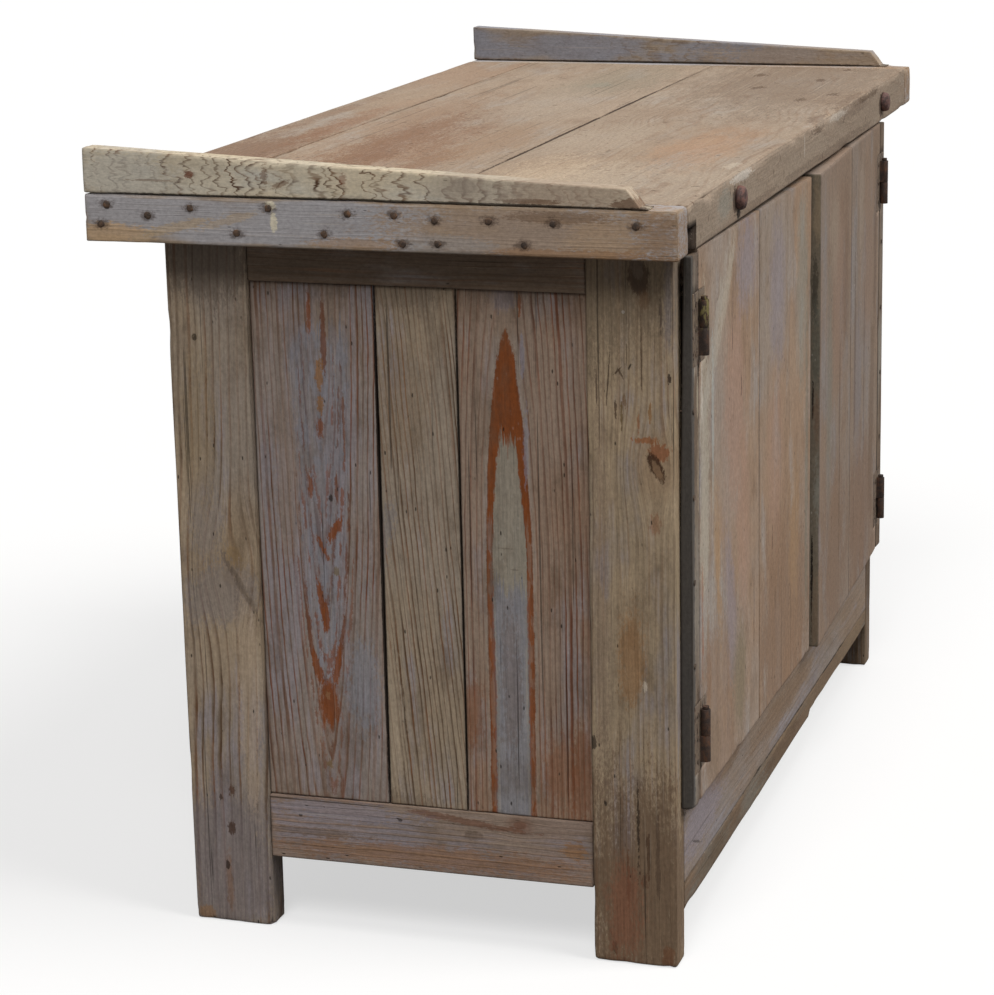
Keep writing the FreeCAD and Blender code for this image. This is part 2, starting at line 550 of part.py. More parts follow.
def make_door(end):
    width = LEFT_DOOR_WIDTH if end == "left" else RIGHT_DOOR_WIDTH
    hinge_plank = LEFT_DOOR_HINGE_PLANK if end == "left" else RIGHT_DOOR_HINGE_PLANK
    sag = LEFT_DOOR_SAG if end == "left" else RIGHT_DOOR_SAG
    start, stop = HINGE_GAP / 2, HINGE_GAP / 2 + width
    seam = start + hinge_plank
    planks = {"hinge": (start, seam), "meeting": (seam + BOARD_SEAM, stop)}
    ledge_back = DOOR_BACK + LEDGE_THICKNESS
    ledge_bases = {"low": DOOR_BOTTOM + LOW_LEDGE_RISE, "high": DOOR_TOP - HIGH_LEDGE_DROP}

    nail_points = []
    for base in ledge_bases.values():
        for u0, u1 in planks.values():
            for share in (LEDGE_NAIL_SHARE, 1 - LEDGE_NAIL_SHARE):
                u = u0 + share * (u1 - u0)
                nail_points.append(V(door_x(end, u), ledge_back, base + LEDGE_HEIGHT / 2))
    ledge_holes = [small_nail_hole(p, V(0, -1, 0), LEDGE_NAIL_LENGTH) for p in nail_points]
    leaf_points = leaf_nail_points(end, 1)
    leaf_holes = [small_nail_hole(p, V(0, 1, 0), LEAF_NAIL_LENGTH) for p in leaf_points]

    made = {}
    for name, (u0, u1) in planks.items():
        drop0, drop1 = sag * u0 / stop, sag * u1 / stop
        outline = [(door_x(end, u0), DOOR_BOTTOM - drop0), (door_x(end, u1), DOOR_BOTTOM - drop1),
                   (door_x(end, u1), DOOR_TOP - drop1), (door_x(end, u0), DOOR_TOP - drop0)]
        board = prism_along_y(outline, DOOR_FRONT, DOOR_BACK)
        tools = ledge_holes + (leaf_pockets(end, 1) + leaf_holes if name == "hinge" else [])
        made["%s_door_%s_plank" % (end, name)] = [cut_all(board, tools)]
    for name, base in ledge_bases.items():
        ledge = door_block(end, start + LEDGE_INSET, stop - LEDGE_INSET, DOOR_BACK, ledge_back,
                           base, base + LEDGE_HEIGHT)
        made["%s_door_%s_ledge" % (end, name)] = [cut_all(ledge, ledge_holes)]
    made["%s_door_nails" % end] = [small_nail(p, V(0, -1, 0), LEDGE_NAIL_LENGTH) for p in nail_points]
    made["%s_door_nails" % end] += [small_nail(p, V(0, 1, 0), LEAF_NAIL_LENGTH) for p in leaf_points]
    made["%s_hinge_door_leaves" % end] = hinge_leaves(end, 1)

    # The right door stands a little ajar, so its meeting edge is proud of the left door.
    ajar = 0.0 if end == "left" else RIGHT_DOOR_AJAR
    for name, solids in made.items():
        for solid in solids:
            solid.rotate(V(hinge_axis(end), AXIS_Y, 0), V(0, 0, 1), ajar)
        keep(name, *solids)


def save_nodes():
    """Moves the origin under the middle of the whole cabinet and writes one file per piece."""
    whole = FreeCAD.BoundBox()
    for solids in nodes.values():
        for solid in solids:
            whole.add(solid.BoundBox)
    shift = V(-whole.Center.x, -whole.Center.y, 0)
    os.makedirs("parts", exist_ok=True)
    for name, solids in nodes.items():
        shape = solids[0] if len(solids) == 1 else Part.makeCompound(solids)
        shape.translate(shift)
        shape.exportStep("parts/%s.step" % name)
    print("nodes", len(nodes), "size", [round(v, 2) for v in (whole.XLength, whole.YLength, whole.ZLength)])
    print("shift", round(shift.x, 3), round(shift.y, 3))
    for end in ENDS:
        print(end, "hinge axis", round(hinge_axis(end) + shift.x, 3), round(AXIS_Y + shift.y, 3))


make_legs()
make_end_frames()
make_cross_rails()
make_back()
make_floor_and_shelf()
make_worktop()
make_tie_bolts()
make_laths()
for end in ENDS:
    make_door(end)
save_nodes()
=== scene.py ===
import json
import math
from collections import namedtuple

import bmesh
import bpy
from mathutils import Matrix, Vector, noise


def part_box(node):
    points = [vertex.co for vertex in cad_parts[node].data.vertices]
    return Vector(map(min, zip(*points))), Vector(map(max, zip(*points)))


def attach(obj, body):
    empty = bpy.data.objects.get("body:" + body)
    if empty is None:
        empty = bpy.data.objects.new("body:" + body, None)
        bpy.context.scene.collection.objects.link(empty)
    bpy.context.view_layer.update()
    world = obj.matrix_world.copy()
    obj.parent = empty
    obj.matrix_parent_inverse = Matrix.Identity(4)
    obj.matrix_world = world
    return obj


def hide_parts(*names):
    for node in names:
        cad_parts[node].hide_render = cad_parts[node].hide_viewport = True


# Weathered pine buffet cabinet: worn boards, old grey paint, rusty hinges and nails, in metres.
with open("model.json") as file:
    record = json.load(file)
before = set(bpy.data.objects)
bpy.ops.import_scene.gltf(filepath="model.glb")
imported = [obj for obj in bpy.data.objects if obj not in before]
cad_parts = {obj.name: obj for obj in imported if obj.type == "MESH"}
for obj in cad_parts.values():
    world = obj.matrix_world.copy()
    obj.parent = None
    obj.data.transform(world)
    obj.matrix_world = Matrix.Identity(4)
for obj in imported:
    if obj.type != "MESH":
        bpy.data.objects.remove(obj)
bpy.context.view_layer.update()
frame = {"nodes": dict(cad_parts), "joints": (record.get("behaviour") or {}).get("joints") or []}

FLOAT = "NodeSocketFloat"
COLOUR = "NodeSocketColor"
VECTOR = "NodeSocketVector"
LETTERS = "XYZ"
CASE = "case"

# A mark is a stain, chip, drip, streak, hole or patch of painted shade at a place along and across its board,
# with its half sizes.
# A knot is a branch. A band is a run of rings of another tone, between two distances from the pith.
MARK_WORDS = "along across half_along half_across tone strength ragged lean soft"
Mark = namedtuple("Mark", MARK_WORDS, defaults=(0.0, None))
Knot = namedtuple("Knot", "along across size tone strength")
Band = namedtuple("Band", "inner outer soft bottom top tone strength whole")


# Small helpers for shader nodes
def tone(red, green, blue):
    """A colour mixed on screen with values from 0 to 255, turned into linear light."""
    parts = []
    for value in (red, green, blue):
        share = value / 255.0
        parts.append(share / 12.92 if share <= 0.04045 else ((share + 0.055) / 1.055) ** 2.4)
    return (parts[0], parts[1], parts[2], 1.0)


def put(tree, kind, feeds=None, **settings):
    """Adds a node, sets it up and feeds its sockets with values or with other sockets."""
    node = tree.nodes.new(kind)
    for key, value in settings.items():
        setattr(node, key, value)
    for key, value in (feeds or {}).items():
        if isinstance(value, bpy.types.NodeSocket):
            tree.links.new(value, node.inputs[key])
        else:
            node.inputs[key].default_value = value
    return node


def sums(tree, operation, first, second=0.0, third=0.0):
    """One sum on values or sockets."""
    return put(tree, "ShaderNodeMath", {0: first, 1: second, 2: third}, operation=operation).outputs[0]


def plus(tree, first, second):
    return sums(tree, "ADD", first, second)


def minus(tree, first, second):
    return sums(tree, "SUBTRACT", first, second)


def times(tree, first, second):
    return sums(tree, "MULTIPLY", first, second)


def times_plus(tree, first, second, more):
    """First times second, and then more added."""
    return sums(tree, "MULTIPLY_ADD", first, second, more)


def swing(tree, value):
    """A noise value moved so that it swings round zero."""
    return minus(tree, value, 0.5)


def mix(tree, share, first, second, blend="MIX"):
    """The second colour laid over the first by its share."""
    node = put(tree, "ShaderNodeMix", {0: share, 6: first, 7: second}, data_type="RGBA", blend_type=blend)
    return node.outputs[2]


def ramp(tree, value, start, stop, low=0.0, high=1.0):
    """A smooth step from low to high while the value goes from start to stop."""
    feeds = {0: value, 1: start, 2: stop, 3: low, 4: high}
    return put(tree, "ShaderNodeMapRange", feeds, interpolation_type="SMOOTHSTEP").outputs[0]


def joined(tree, first, second, third=0.0):
    """Three values as one place."""
    return put(tree, "ShaderNodeCombineXYZ", {0: first, 1: second, 2: third}).outputs[0]


def stretched(tree, place, stretch):
    """A place multiplied by another number on each axis."""
    return put(tree, "ShaderNodeVectorMath", {0: place, 1: stretch}, operation="MULTIPLY").outputs[0]


def cloud(tree, place, stretch, detail=2.0, roughness=0.5):
    """Noise on a place that is stretched first."""
    spot = stretched(tree, place, stretch)
    feeds = {"Vector": spot, "Scale": 1.0, "Detail": detail, "Roughness": roughness}
    return put(tree, "ShaderNodeTexNoise", feeds).outputs


def dots(tree, place, stretch, channel, inner, outer, rare, usual):
    """Scattered dots: only the cells of a cell pattern whose chance is high enough have one."""
    cells = put(tree, "ShaderNodeTexVoronoi", {"Vector": stretched(tree, place, stretch), "Scale": 1.0})
    chance = put(tree, "ShaderNodeSeparateColor", {0: cells.outputs["Color"]}).outputs
    dot = ramp(tree, cells.outputs["Distance"], inner, outer, 1.0, 0.0)
    return times(tree, dot, ramp(tree, chance[channel], rare, usual))


def floats(*labels):
    """Sockets of a group that hold plain numbers."""
    return [(label, FLOAT) for label in labels]


def start_group(name, inputs, outputs):
    """A new node group: its tree, what comes in and what goes out."""
    tree = bpy.data.node_groups.new(name, "ShaderNodeTree")
    for label, kind in inputs:
        tree.interface.new_socket(label, in_out="INPUT", socket_type=kind)
    for label, kind in outputs:
        tree.interface.new_socket(label, in_out="OUTPUT", socket_type=kind)
    entry = tree.nodes.new("NodeGroupInput").outputs
    out = tree.nodes.new("NodeGroupOutput").inputs
    return tree, entry, out


def close_group(tree, out, results):
    """Joins the results to the group's outputs."""
    for label, value in results.items():
        tree.links.new(value, out[label])
    return tree


def fill_group(tree, group, feeds):
    """Places a group with values of its own, and gives what it puts out."""
    return put(tree, "ShaderNodeGroup", feeds, node_tree=group).outputs


def shifted_place(tree, entry):
    """The place on a board, moved by the board's seed, as across, depth and along."""
    place = joined(tree, entry["Across"], entry["Depth"], entry["Along"])
    seed = joined(tree, entry["Seed"], entry["Seed"], entry["Seed"])
    return put(tree, "ShaderNodeVectorMath", {0: place, 1: seed}, operation="ADD").outputs[0]


BOARD_PLACE = floats("Along", "Across", "Depth", "Seed")


def make_board_grain():
    """Year rings cut by a board: late wood lines, fine fibres and how far the pith is."""
    inputs = BOARD_PLACE + floats("Pith Across", "Pith Depth", "Pith Slope", "Pith Start")
    inputs += floats("Ring Width", "Waviness", "Point", "Jitter", "Bold")
    tree, entry, out = start_group("board_grain", inputs, floats("Late", "Fibre", "Reach"))
    place = shifted_place(tree, entry)
    sway = put(tree, "ShaderNodeSeparateColor", {0: cloud(tree, place, (7.0, 7.0, 2.6), 2.0)[1]}).outputs
    sway_across = times(tree, swing(tree, sway[0]), entry["Waviness"])
    sway_depth = times(tree, swing(tree, sway[1]), entry["Waviness"])
    across = plus(tree, minus(tree, entry["Across"], entry["Pith Across"]), sway_across)
    climb = times(tree, minus(tree, entry["Along"], entry["Pith Start"]), entry["Pith Slope"])
    deep = plus(tree, entry["Pith Depth"], sums(tree, "MAXIMUM", climb, 0.0))
    depth = plus(tree, plus(tree, entry["Depth"], deep), sway_depth)
    square = times_plus(tree, across, across, times(tree, depth, depth))
    cross = sums(tree, "ABSOLUTE", times(tree, across, depth))
    square = times_plus(tree, cross, entry["Point"], square)
    jitter = swing(tree, cloud(tree, place, (90.0, 90.0, 22.0), 3.0, 0.6)[0])
    reach = times_plus(tree, jitter, entry["Jitter"], sums(tree, "SQRT", square))
    turns = sums(tree, "DIVIDE", reach, entry["Ring Width"])
    uneven = put(tree, "ShaderNodeTexNoise", {"W": turns, "Scale": 0.7, "Detail": 1.0}, noise_dimensions="1D")
    turns = times_plus(tree, uneven.outputs[0], 1.0, turns)
    ring = plus(tree, sums(tree, "FLOOR", turns), entry["Seed"])
    chance = put(tree, "ShaderNodeTexWhiteNoise", {"W": ring}, noise_dimensions="1D").outputs[0]
    saw = sums(tree, "FRACT", turns)
    rise = ramp(tree, saw, minus(tree, 0.5, entry["Bold"]), minus(tree, 0.86, entry["Bold"]))
    drop = ramp(tree, saw, 0.91, 1.0, 1.0, 0.0)
    broken = ramp(tree, cloud(tree, place, (60.0, 60.0, 9.0), 3.0, 0.6)[0], 0.34, 0.62, 0.5, 1.0)
    strength = times(tree, times_plus(tree, chance, 0.5, 0.5), broken)
    late = times(tree, times(tree, rise, drop), strength)
    fine = cloud(tree, place, (980.0, 980.0, 30.0), 2.0, 0.6)[0]
    coarse = cloud(tree, place, (310.0, 310.0, 8.0), 2.0, 0.6)[0]
    fibre = times_plus(tree, fine, 0.55, times(tree, coarse, 0.45))
    return close_group(tree, out, {"Late": late, "Fibre": fibre, "Reach": reach})


# Knots and nail stains are longer along the grain than across it, by one over this share
GRAIN_SHARE = 0.62


def make_knot():
    """A branch through the board: grain bends round it and its heart is dark."""
    inputs = floats("Along", "Across", "Knot Along", "Knot Across", "Size")
    tree, entry, out = start_group("knot", inputs, floats("Across", "Heart", "Halo"))
    along = minus(tree, entry["Along"], entry["Knot Along"])
    across = minus(tree, entry["Across"], entry["Knot Across"])
    half = times(tree, along, GRAIN_SHARE)
    far = sums(tree, "SQRT", times_plus(tree, across, across, times(tree, half, half)))
    share = sums(tree, "DIVIDE", far, entry["Size"])
    place = joined(tree, entry["Across"], entry["Along"], entry["Size"])
    ragged = swing(tree, cloud(tree, place, (260.0, 150.0, 900.0), 3.0)[0])
    edge = times_plus(tree, ragged, 0.7, share)
    heart = ramp(tree, edge, 0.72, 1.0, 1.0, 0.0)
    halo = ramp(tree, edge, 0.9, 2.6, 1.0, 0.0)
    wide = sums(tree, "DIVIDE", share, 2.3)
    near = sums(tree, "POWER", 2.718, times(tree, times(tree, wide, wide), -1.0))
    bent = minus(tree, entry["Across"], times(tree, times(tree, across, 0.85), near))
    return close_group(tree, out, {"Across": bent, "Heart": heart, "Halo": halo})


def make_patch_mask():
    """A ragged patch on a board: a stain, a chip, a drip, a streak or a patch of painted shade."""
    inputs = floats("Along", "Across", "Middle Along", "Middle Across", "Half Along", "Half Across")
    inputs += floats("Fray", "Ragged", "Soft")
    tree, entry, out = start_group("patch_mask", inputs, floats("Mask"))
    along = sums(tree, "DIVIDE", minus(tree, entry["Along"], entry["Middle Along"]), entry["Half Along"])
    across = sums(tree, "DIVIDE", minus(tree, entry["Across"], entry["Middle Across"]), entry["Half Across"])
    far = sums(tree, "SQRT", times_plus(tree, along, along, times(tree, across, across)))
    edge = times_plus(tree, entry["Fray"], entry["Ragged"], far)
    first = minus(tree, 0.87, entry["Soft"])
    last = plus(tree, 0.87, entry["Soft"])
    return close_group(tree, out, {"Mask": ramp(tree, edge, first, last, 1.0, 0.0)})


def make_ring_band():
    """A band of rings between two distances from the pith, with a ragged edge."""
    inputs = floats("Reach", "Inner", "Outer", "Soft", "Ragged")
    tree, entry, out = start_group("ring_band", inputs, floats("Mask"))
    reach = plus(tree, entry["Reach"], entry["Ragged"])
    first = minus(tree, entry["Inner"], entry["Soft"])
    inside = ramp(tree, reach, first, plus(tree, entry["Inner"], entry["Soft"]))
    last = minus(tree, entry["Outer"], entry["Soft"])
    outside = ramp(tree, reach, last, plus(tree, entry["Outer"], entry["Soft"]), 1.0, 0.0)
    return close_group(tree, out, {"Mask": times(tree, inside, outside)})


def make_weather():
    """What years out of doors leave on a board, from broad tones down to cracks, worm holes and flecks."""
    outputs = floats("Broad", "Blotch", "Streak", "Mottle", "Worm", "Fleck")
    outputs += floats("Scratch", "Check", "Grime", "Break", "Nick", "Fray")
    tree, entry, out = start_group("weather", BOARD_PLACE, outputs)
    place = shifted_place(tree, entry)
    broad = cloud(tree, place, (6.0, 6.0, 3.4), 3.0, 0.55)[0]
    blotch = cloud(tree, place, (19.0, 19.0, 6.0), 4.0, 0.6)[0]
    streak = cloud(tree, place, (110.0, 110.0, 6.0), 4.0, 0.65)[0]
    mottle = cloud(tree, place, (330.0, 330.0, 210.0), 4.0, 0.7)[0]
    worm = dots(tree, place, (190.0, 190.0, 70.0), 0, 0.10, 0.2, 0.9, 0.94)
    fleck = dots(tree, place, (260.0, 260.0, 150.0), 1, 0.12, 0.34, 0.88, 1.0)
    fleck = times(tree, fleck, ramp(tree, blotch, 0.5, 0.66))
    scratch = ramp(tree, cloud(tree, place, (380.0, 380.0, 5.0), 2.0)[0], 0.64, 0.74)
    check = ramp(tree, cloud(tree, place, (230.0, 230.0, 2.4), 2.0)[0], 0.68, 0.73)
    grime = ramp(tree, cloud(tree, place, (27.0, 27.0, 12.0), 5.0, 0.68)[0], 0.48, 0.7)
    gap = ramp(tree, cloud(tree, place, (150.0, 150.0, 38.0), 3.0, 0.6)[0], 0.44, 0.54)
    nick = dots(tree, place, (62.0, 62.0, 150.0), 2, 0.12, 0.30, 0.78, 0.96)
    fine = swing(tree, cloud(tree, place, (430.0, 430.0, 150.0), 4.0, 0.75)[0])
    coarse = swing(tree, cloud(tree, place, (75.0, 75.0, 26.0), 2.0)[0])
    fray = times_plus(tree, fine, 2.4, coarse)
    fray = times_plus(tree, swing(tree, blotch), 1.0, fray)
    return close_group(tree, out, {
        "Fray": fray, "Grime": grime, "Break": gap, "Nick": nick, "Broad": broad, "Blotch": blotch,
        "Streak": streak, "Mottle": mottle, "Worm": worm, "Fleck": fleck, "Scratch": scratch, "Check": check,
    })


def make_rust():
    """Rust on old iron: a colour, a roughness and a height."""
    inputs = [("Place", VECTOR), ("Dark", COLOUR), ("Brown", COLOUR), ("Orange", COLOUR)]
    outputs = [("Colour", COLOUR), ("Roughness", FLOAT), ("Height", FLOAT)]
    tree, entry, out = start_group("rust", inputs, outputs)
    broad = cloud(tree, entry["Place"], (130.0, 130.0, 130.0), 4.0, 0.6)[0]
    fine = cloud(tree, entry["Place"], (900.0, 900.0, 900.0), 3.0, 0.6)[0]
    brown = mix(tree, ramp(tree, broad, 0.38, 0.6), entry["Dark"], entry["Brown"])
    bloom = ramp(tree, times_plus(tree, fine, 0.5, broad), 0.78, 0.95)
    colour = mix(tree, bloom, brown, entry["Orange"])
    rough = ramp(tree, fine, 0.3, 0.7, 0.6, 0.92)
    height = times_plus(tree, broad, 0.6, fine)
    return close_group(tree, out, {"Colour": colour, "Roughness": rough, "Height": height})


BOARD_GRAIN = make_board_grain()
KNOT = make_knot()
PATCH_MASK = make_patch_mask()
RING_BAND = make_ring_band()
WEATHER = make_weather()
RUST = make_rust()

# Finish tones
BARE_END = tone(166, 147, 124)
KHAKI = tone(160, 143, 122)
LATE_END = tone(92, 70, 52)
WARM_LINE = tone(122, 84, 58)
RED_LINE = tone(118, 72, 52)
OLD_BLUE = tone(142, 136, 144)
OLD_GREY = tone(158, 152, 146)
ORANGE = tone(128, 70, 34)
OCHRE = tone(146, 104, 62)
RED_BROWN = tone(112, 70, 50)
SEAM_DARK = tone(36, 28, 22)
LATE_DOOR = tone(124, 100, 82)
BARE_TOP = tone(167, 150, 132)
LATE_TOP = tone(128, 100, 80)
PALE = tone(196, 182, 164)
CHALK = tone(214, 206, 196)
HOLE = tone(34, 26, 20)
MOSS = tone(138, 146, 134)
NICK_BROWN = tone(96, 76, 60)
NAIL_STAIN = tone(70, 52, 42)
# Painted shade for the walls of the notch under the worktop's left front corner
NOTCH_SHADE = tone(66, 54, 46)

# What a board's look says where its own look gives nothing else
PLAIN_LOOK = {
    # a third tone of bare wood beside light and second, its share, and how light the whole board is
    "third": None, "thirds": 0.6, "gain": 1.0,
    # year rings: a second tone of line, ring width, how plainly lines show, how they fade, how thick they are
    "warm": None, "ring": 0.0055, "late": 0.9, "faded": 0.35, "bold": 0.0,
    # how rings stray: waves, fine jitter, pointed arches, which way they run, and how far they lean
    "wave": 0.02, "jitter": 0.003, "point": 0.0, "run": 1.0, "lean": 0.0,
    # old paint: its tone, how much of the board has it, how opaque it is, and how far it follows the grain
    "paint": None, "cover": 0.5, "opaque": 0.75, "lined": 1.0,
    # single things on the board, and a tone for its narrow sides
    "knots": (), "halo": RED_BROWN, "bands": (), "marks": (), "edge_marks": (), "spots": (), "flank": None,
    # fine patterns over all of it, and how deep its relief is
    "fibre": 1.1, "mottle": 0.8, "streak": 0.5, "grime": 0.3, "grime_tone": tone(98, 80, 64), "rim": 0.5,
    "scratch": 0.25, "check": 0.6, "fleck": 0.15, "nick": 0.0, "worm": 0.6, "relief": 0.6,
}


def look_of(base, seed, **more):
    """A whole look: the plain one, then the kind of board's own, then what this board alone has."""
    return {**PLAIN_LOOK, **base, "seed": seed, **more}


def start_material(name):
    """A new material with an empty tree."""
    material = bpy.data.materials.new(name)
    material.use_nodes = True
    material.node_tree.nodes.clear()
    return material, material.node_tree


def coat(tree, feeds):
    """Ends a material with one shader."""
    shader = put(tree, "ShaderNodeBsdfPrincipled", feeds)
    put(tree, "ShaderNodeOutputMaterial", {"Surface": shader.outputs[0]})


# What every layer of a board's material reads: its look, its sockets and the middle of the board
BOARD_WORDS = "tree look along across depth mid_along mid_across mid_depth wood weather arris"
Board = namedtuple("Board", BOARD_WORDS)
# Marks wider than this each way have a softer edge
BROAD_MARK = 0.012
BROAD_SOFTNESS = 0.3
SMALL_SOFTNESS = 0.16
# Over this length a band of rings fades at its two ends
BAND_FADE = 0.004
# How far a nail's stain reaches, from its darkest part to its edge
STAIN_INNER = 0.0028
STAIN_OUTER = 0.0072
# How high the relief of a board is at its strongest
RELIEF_HEIGHT = 0.0012


def bent_round_knots(tree, look, along, across, mid_along, mid_across):
    """The place across a board whose grain leans and bends round its knots, and those knots."""
    bent = times_plus(tree, along, look["lean"], across)
    branches = []
    for knot in look["knots"]:
        feeds = {
            "Along": along, "Across": bent, "Size": knot.size,
            "Knot Along": knot.along - mid_along, "Knot Across": knot.across - mid_across,
        }
        branch = fill_group(tree, KNOT, feeds)
        bent = branch["Across"]
        branches.append((branch, knot))
    return bent, branches


def year_rings(tree, look, place):
    """The year rings that a board is cut from."""
    pith_across, pith_depth, slope, start = look["pith"]
    feeds = {
        **place, "Along": times(tree, place["Along"], look["run"]),
        "Pith Across": pith_across, "Pith Depth": pith_depth, "Pith Slope": slope, "Pith Start": start,
        "Ring Width": look["ring"], "Waviness": look["wave"], "Point": look["point"],
        "Jitter": look["jitter"], "Bold": look["bold"],
    }
    return fill_group(tree, BOARD_GRAIN, feeds)


def bare_wood(board):
    """Bare wood in up to three tones, with late wood lines in two."""
    tree, look, wood, weather = board.tree, board.look, board.wood, board.weather
    colour = mix(tree, ramp(tree, weather["Broad"], 0.4, 0.6), look["light"], look["second"])
    if look["third"]:
        share = times(tree, ramp(tree, weather["Blotch"], 0.5, 0.68), look["thirds"])
        colour = mix(tree, share, colour, look["third"])
    lines = mix(tree, ramp(tree, weather["Streak"], 0.42, 0.62), look["dark"], look["warm"] or look["dark"])
    patchy = ramp(tree, weather["Blotch"], 0.36, 0.58, look["faded"], 1.0)
    shown = times(tree, times(tree, wood["Late"], look["late"]), patchy)
    colour = mix(tree, shown, colour, lines)
    streak = times_plus(tree, swing(tree, weather["Streak"]), look["streak"], 1.0)
    return mix(tree, 1.0, colour, streak, "MULTIPLY")


def with_old_paint(board, colour):
    """Paint that is left in the hollows."""
    tree, look, wood, weather = board.tree, board.look, board.wood, board.weather
    if not look["paint"]:
        return colour
    lined = look["lined"]
    left = times_plus(tree, weather["Streak"], 0.6 * lined, weather["Blotch"])
    left = times_plus(tree, wood["Fibre"], 0.5 * lined, left)
    left = times_plus(tree, wood["Late"], -0.3 * lined, left)
    left = times_plus(tree, board.arris, -0.2, left)
    edge = 0.85 + 0.55 * lined - 0.72 * look["cover"]
    share = times(tree, ramp(tree, left, edge - 0.12, edge + 0.12), look["opaque"])
    return mix(tree, share, colour, look["paint"])


def with_ring_bands(board, colour):
    """Bands of rings that took another tone."""
    tree, look, wood, weather = board.tree, board.look, board.wood, board.weather
    if not look["bands"]:
        return colour
    ragged = times(tree, swing(tree, weather["Mottle"]), 0.005)
    ragged = times_plus(tree, swing(tree, weather["Streak"]), 0.006, ragged)
    stepped = times_plus(tree, swing(tree, wood["Fibre"]), 0.14, board.along)
    for band in look["bands"]:
        feeds = {"Reach": wood["Reach"], "Inner": band.inner, "Outer": band.outer}
        feeds.update({"Soft": band.soft, "Ragged": ragged})
        rings = fill_group(tree, RING_BAND, feeds)["Mask"]
        bottom = band.bottom - board.mid_along
        top = band.top - board.mid_along
        above = ramp(tree, stepped, bottom - BAND_FADE, bottom + BAND_FADE)
        below = ramp(tree, stepped, top - BAND_FADE, top + BAND_FADE, 1.0, 0.0)
        worn = times(tree, times(tree, rings, band.strength), times(tree, above, below))
        if band.whole < 1.0:
            worn = times(tree, worn, sums(tree, "MAXIMUM", weather["Break"], band.whole))
        colour = mix(tree, worn, colour, band.tone)
    return colour


def with_knots(board, colour, branches):
    """The halo and the dark heart of each knot."""
    tree = board.tree
    for branch, knot in branches:
        colour = mix(tree, times(tree, branch["Halo"], 0.4), colour, board.look["halo"])
        colour = mix(tree, times(tree, branch["Heart"], knot.strength), colour, knot.tone)
    return colour


def mark_mask(board, mark, width, mid_width):
    """How much of one mark shows at each place."""
    tree = board.tree
    soft = mark.soft
    if soft is None:
        broad = min(mark.half_along, mark.half_across) > BROAD_MARK
        soft = BROAD_SOFTNESS if broad else SMALL_SOFTNESS
    middle = mark.along - board.mid_along
    if mark.lean:
        width = times_plus(tree, minus(tree, board.along, middle), mark.lean, width)
    feeds = {
        "Along": board.along, "Across": width, "Fray": board.weather["Fray"], "Ragged": mark.ragged,
        "Middle Along": middle, "Middle Across": mark.across - mid_width,
        "Half Along": mark.half_along, "Half Across": mark.half_across, "Soft": soft,
    }
    return times(tree, fill_group(tree, PATCH_MASK, feeds)["Mask"], mark.strength)


def with_marks(board, colour, sideways):
    """Grime, which on the right front leg is also painted shade, then the marks on the face and on the narrow
    sides, some of which are painted shade.
    """
    tree, look = board.tree, board.look
    colour = mix(tree, times(tree, board.weather["Grime"], look["grime"]), colour, look["grime_tone"])
    for mark in look["marks"]:
        patch = mark_mask(board, mark, board.across, board.mid_across)
        colour = mix(tree, patch, colour, mark.tone)
    side_face = ramp(tree, sums(tree, "ABSOLUTE", sideways), 0.55, 0.8)
    if look["flank"]:
        colour = mix(tree, times(tree, side_face, 0.9), colour, look["flank"])
    for mark in look["edge_marks"]:
        patch = mark_mask(board, mark, board.depth, board.mid_depth)
        colour = mix(tree, times(tree, patch, side_face), colour, mark.tone)
    return colour


def with_nail_stains(board, colour):
    """A stain round every nail."""
    tree, spots, weather = board.tree, board.look["spots"], board.weather
    if not spots:
        return colour
    flat = joined(tree, times(tree, board.along, GRAIN_SHARE), board.across)
    nearest = 1.0
    for spot_along, spot_across in spots:
        heart = ((spot_along - board.mid_along) * GRAIN_SHARE, spot_across - board.mid_across, 0.0)
        far = put(tree, "ShaderNodeVectorMath", {0: flat, 1: heart}, operation="DISTANCE")
        nearest = sums(tree, "MINIMUM", nearest, far.outputs["Value"])
    frayed = times_plus(tree, swing(tree, weather["Mottle"]), 0.012, nearest)
    frayed = times_plus(tree, swing(tree, weather["Streak"]), 0.006, frayed)
    return mix(tree, ramp(tree, frayed, STAIN_INNER, STAIN_OUTER, 0.6, 0.0), colour, NAIL_STAIN)


def with_fine_wear(board, colour):
    """Fibres and mottling over everything, then edges, painted shade on the walls of the notch, cracks, worm
    holes and flecks.
    """
    tree, look, weather = board.tree, board.look, board.weather
    shade = times_plus(tree, swing(tree, board.wood["Fibre"]), look["fibre"], look["gain"])
    shade = times_plus(tree, swing(tree, weather["Mottle"]), look["mottle"], shade)
    colour = mix(tree, 1.0, colour, shade, "MULTIPLY")
    edged = ramp(tree, times_plus(tree, weather["Streak"], 0.9, board.arris), 0.9, 1.6)
    colour = mix(tree, times(tree, edged, look["rim"]), colour, SEAM_DARK)
    # Painted shade on the walls of the notch, the places marked with 2
    colour = mix(tree, ramp(tree, board.arris, 1.2, 1.8, 0.0, 0.92), colour, NOTCH_SHADE)
    small_tones = {"Scratch": PALE, "Check": SEAM_DARK, "Fleck": CHALK, "Nick": NICK_BROWN, "Worm": HOLE}
    for label, small_tone in small_tones.items():
        colour = mix(tree, times(tree, weather[label], look[label.lower()]), colour, small_tone)
    return colour


def board_relief(board):
    """The normal of lines, fibres, holes and cracks."""
    tree, look, wood = board.tree, board.look, board.wood
    height = times_plus(tree, wood["Late"], 0.5, times(tree, wood["Fibre"], 0.9))
    for label, share in {"Worm": -1.2, "Check": -1.0, "Mottle": 0.5, "Nick": -look["nick"]}.items():
        height = times_plus(tree, board.weather[label], share, height)
    feeds = {"Height": height, "Strength": look["relief"], "Distance": RELIEF_HEIGHT}
    return put(tree, "ShaderNodeBump", feeds).outputs[0]


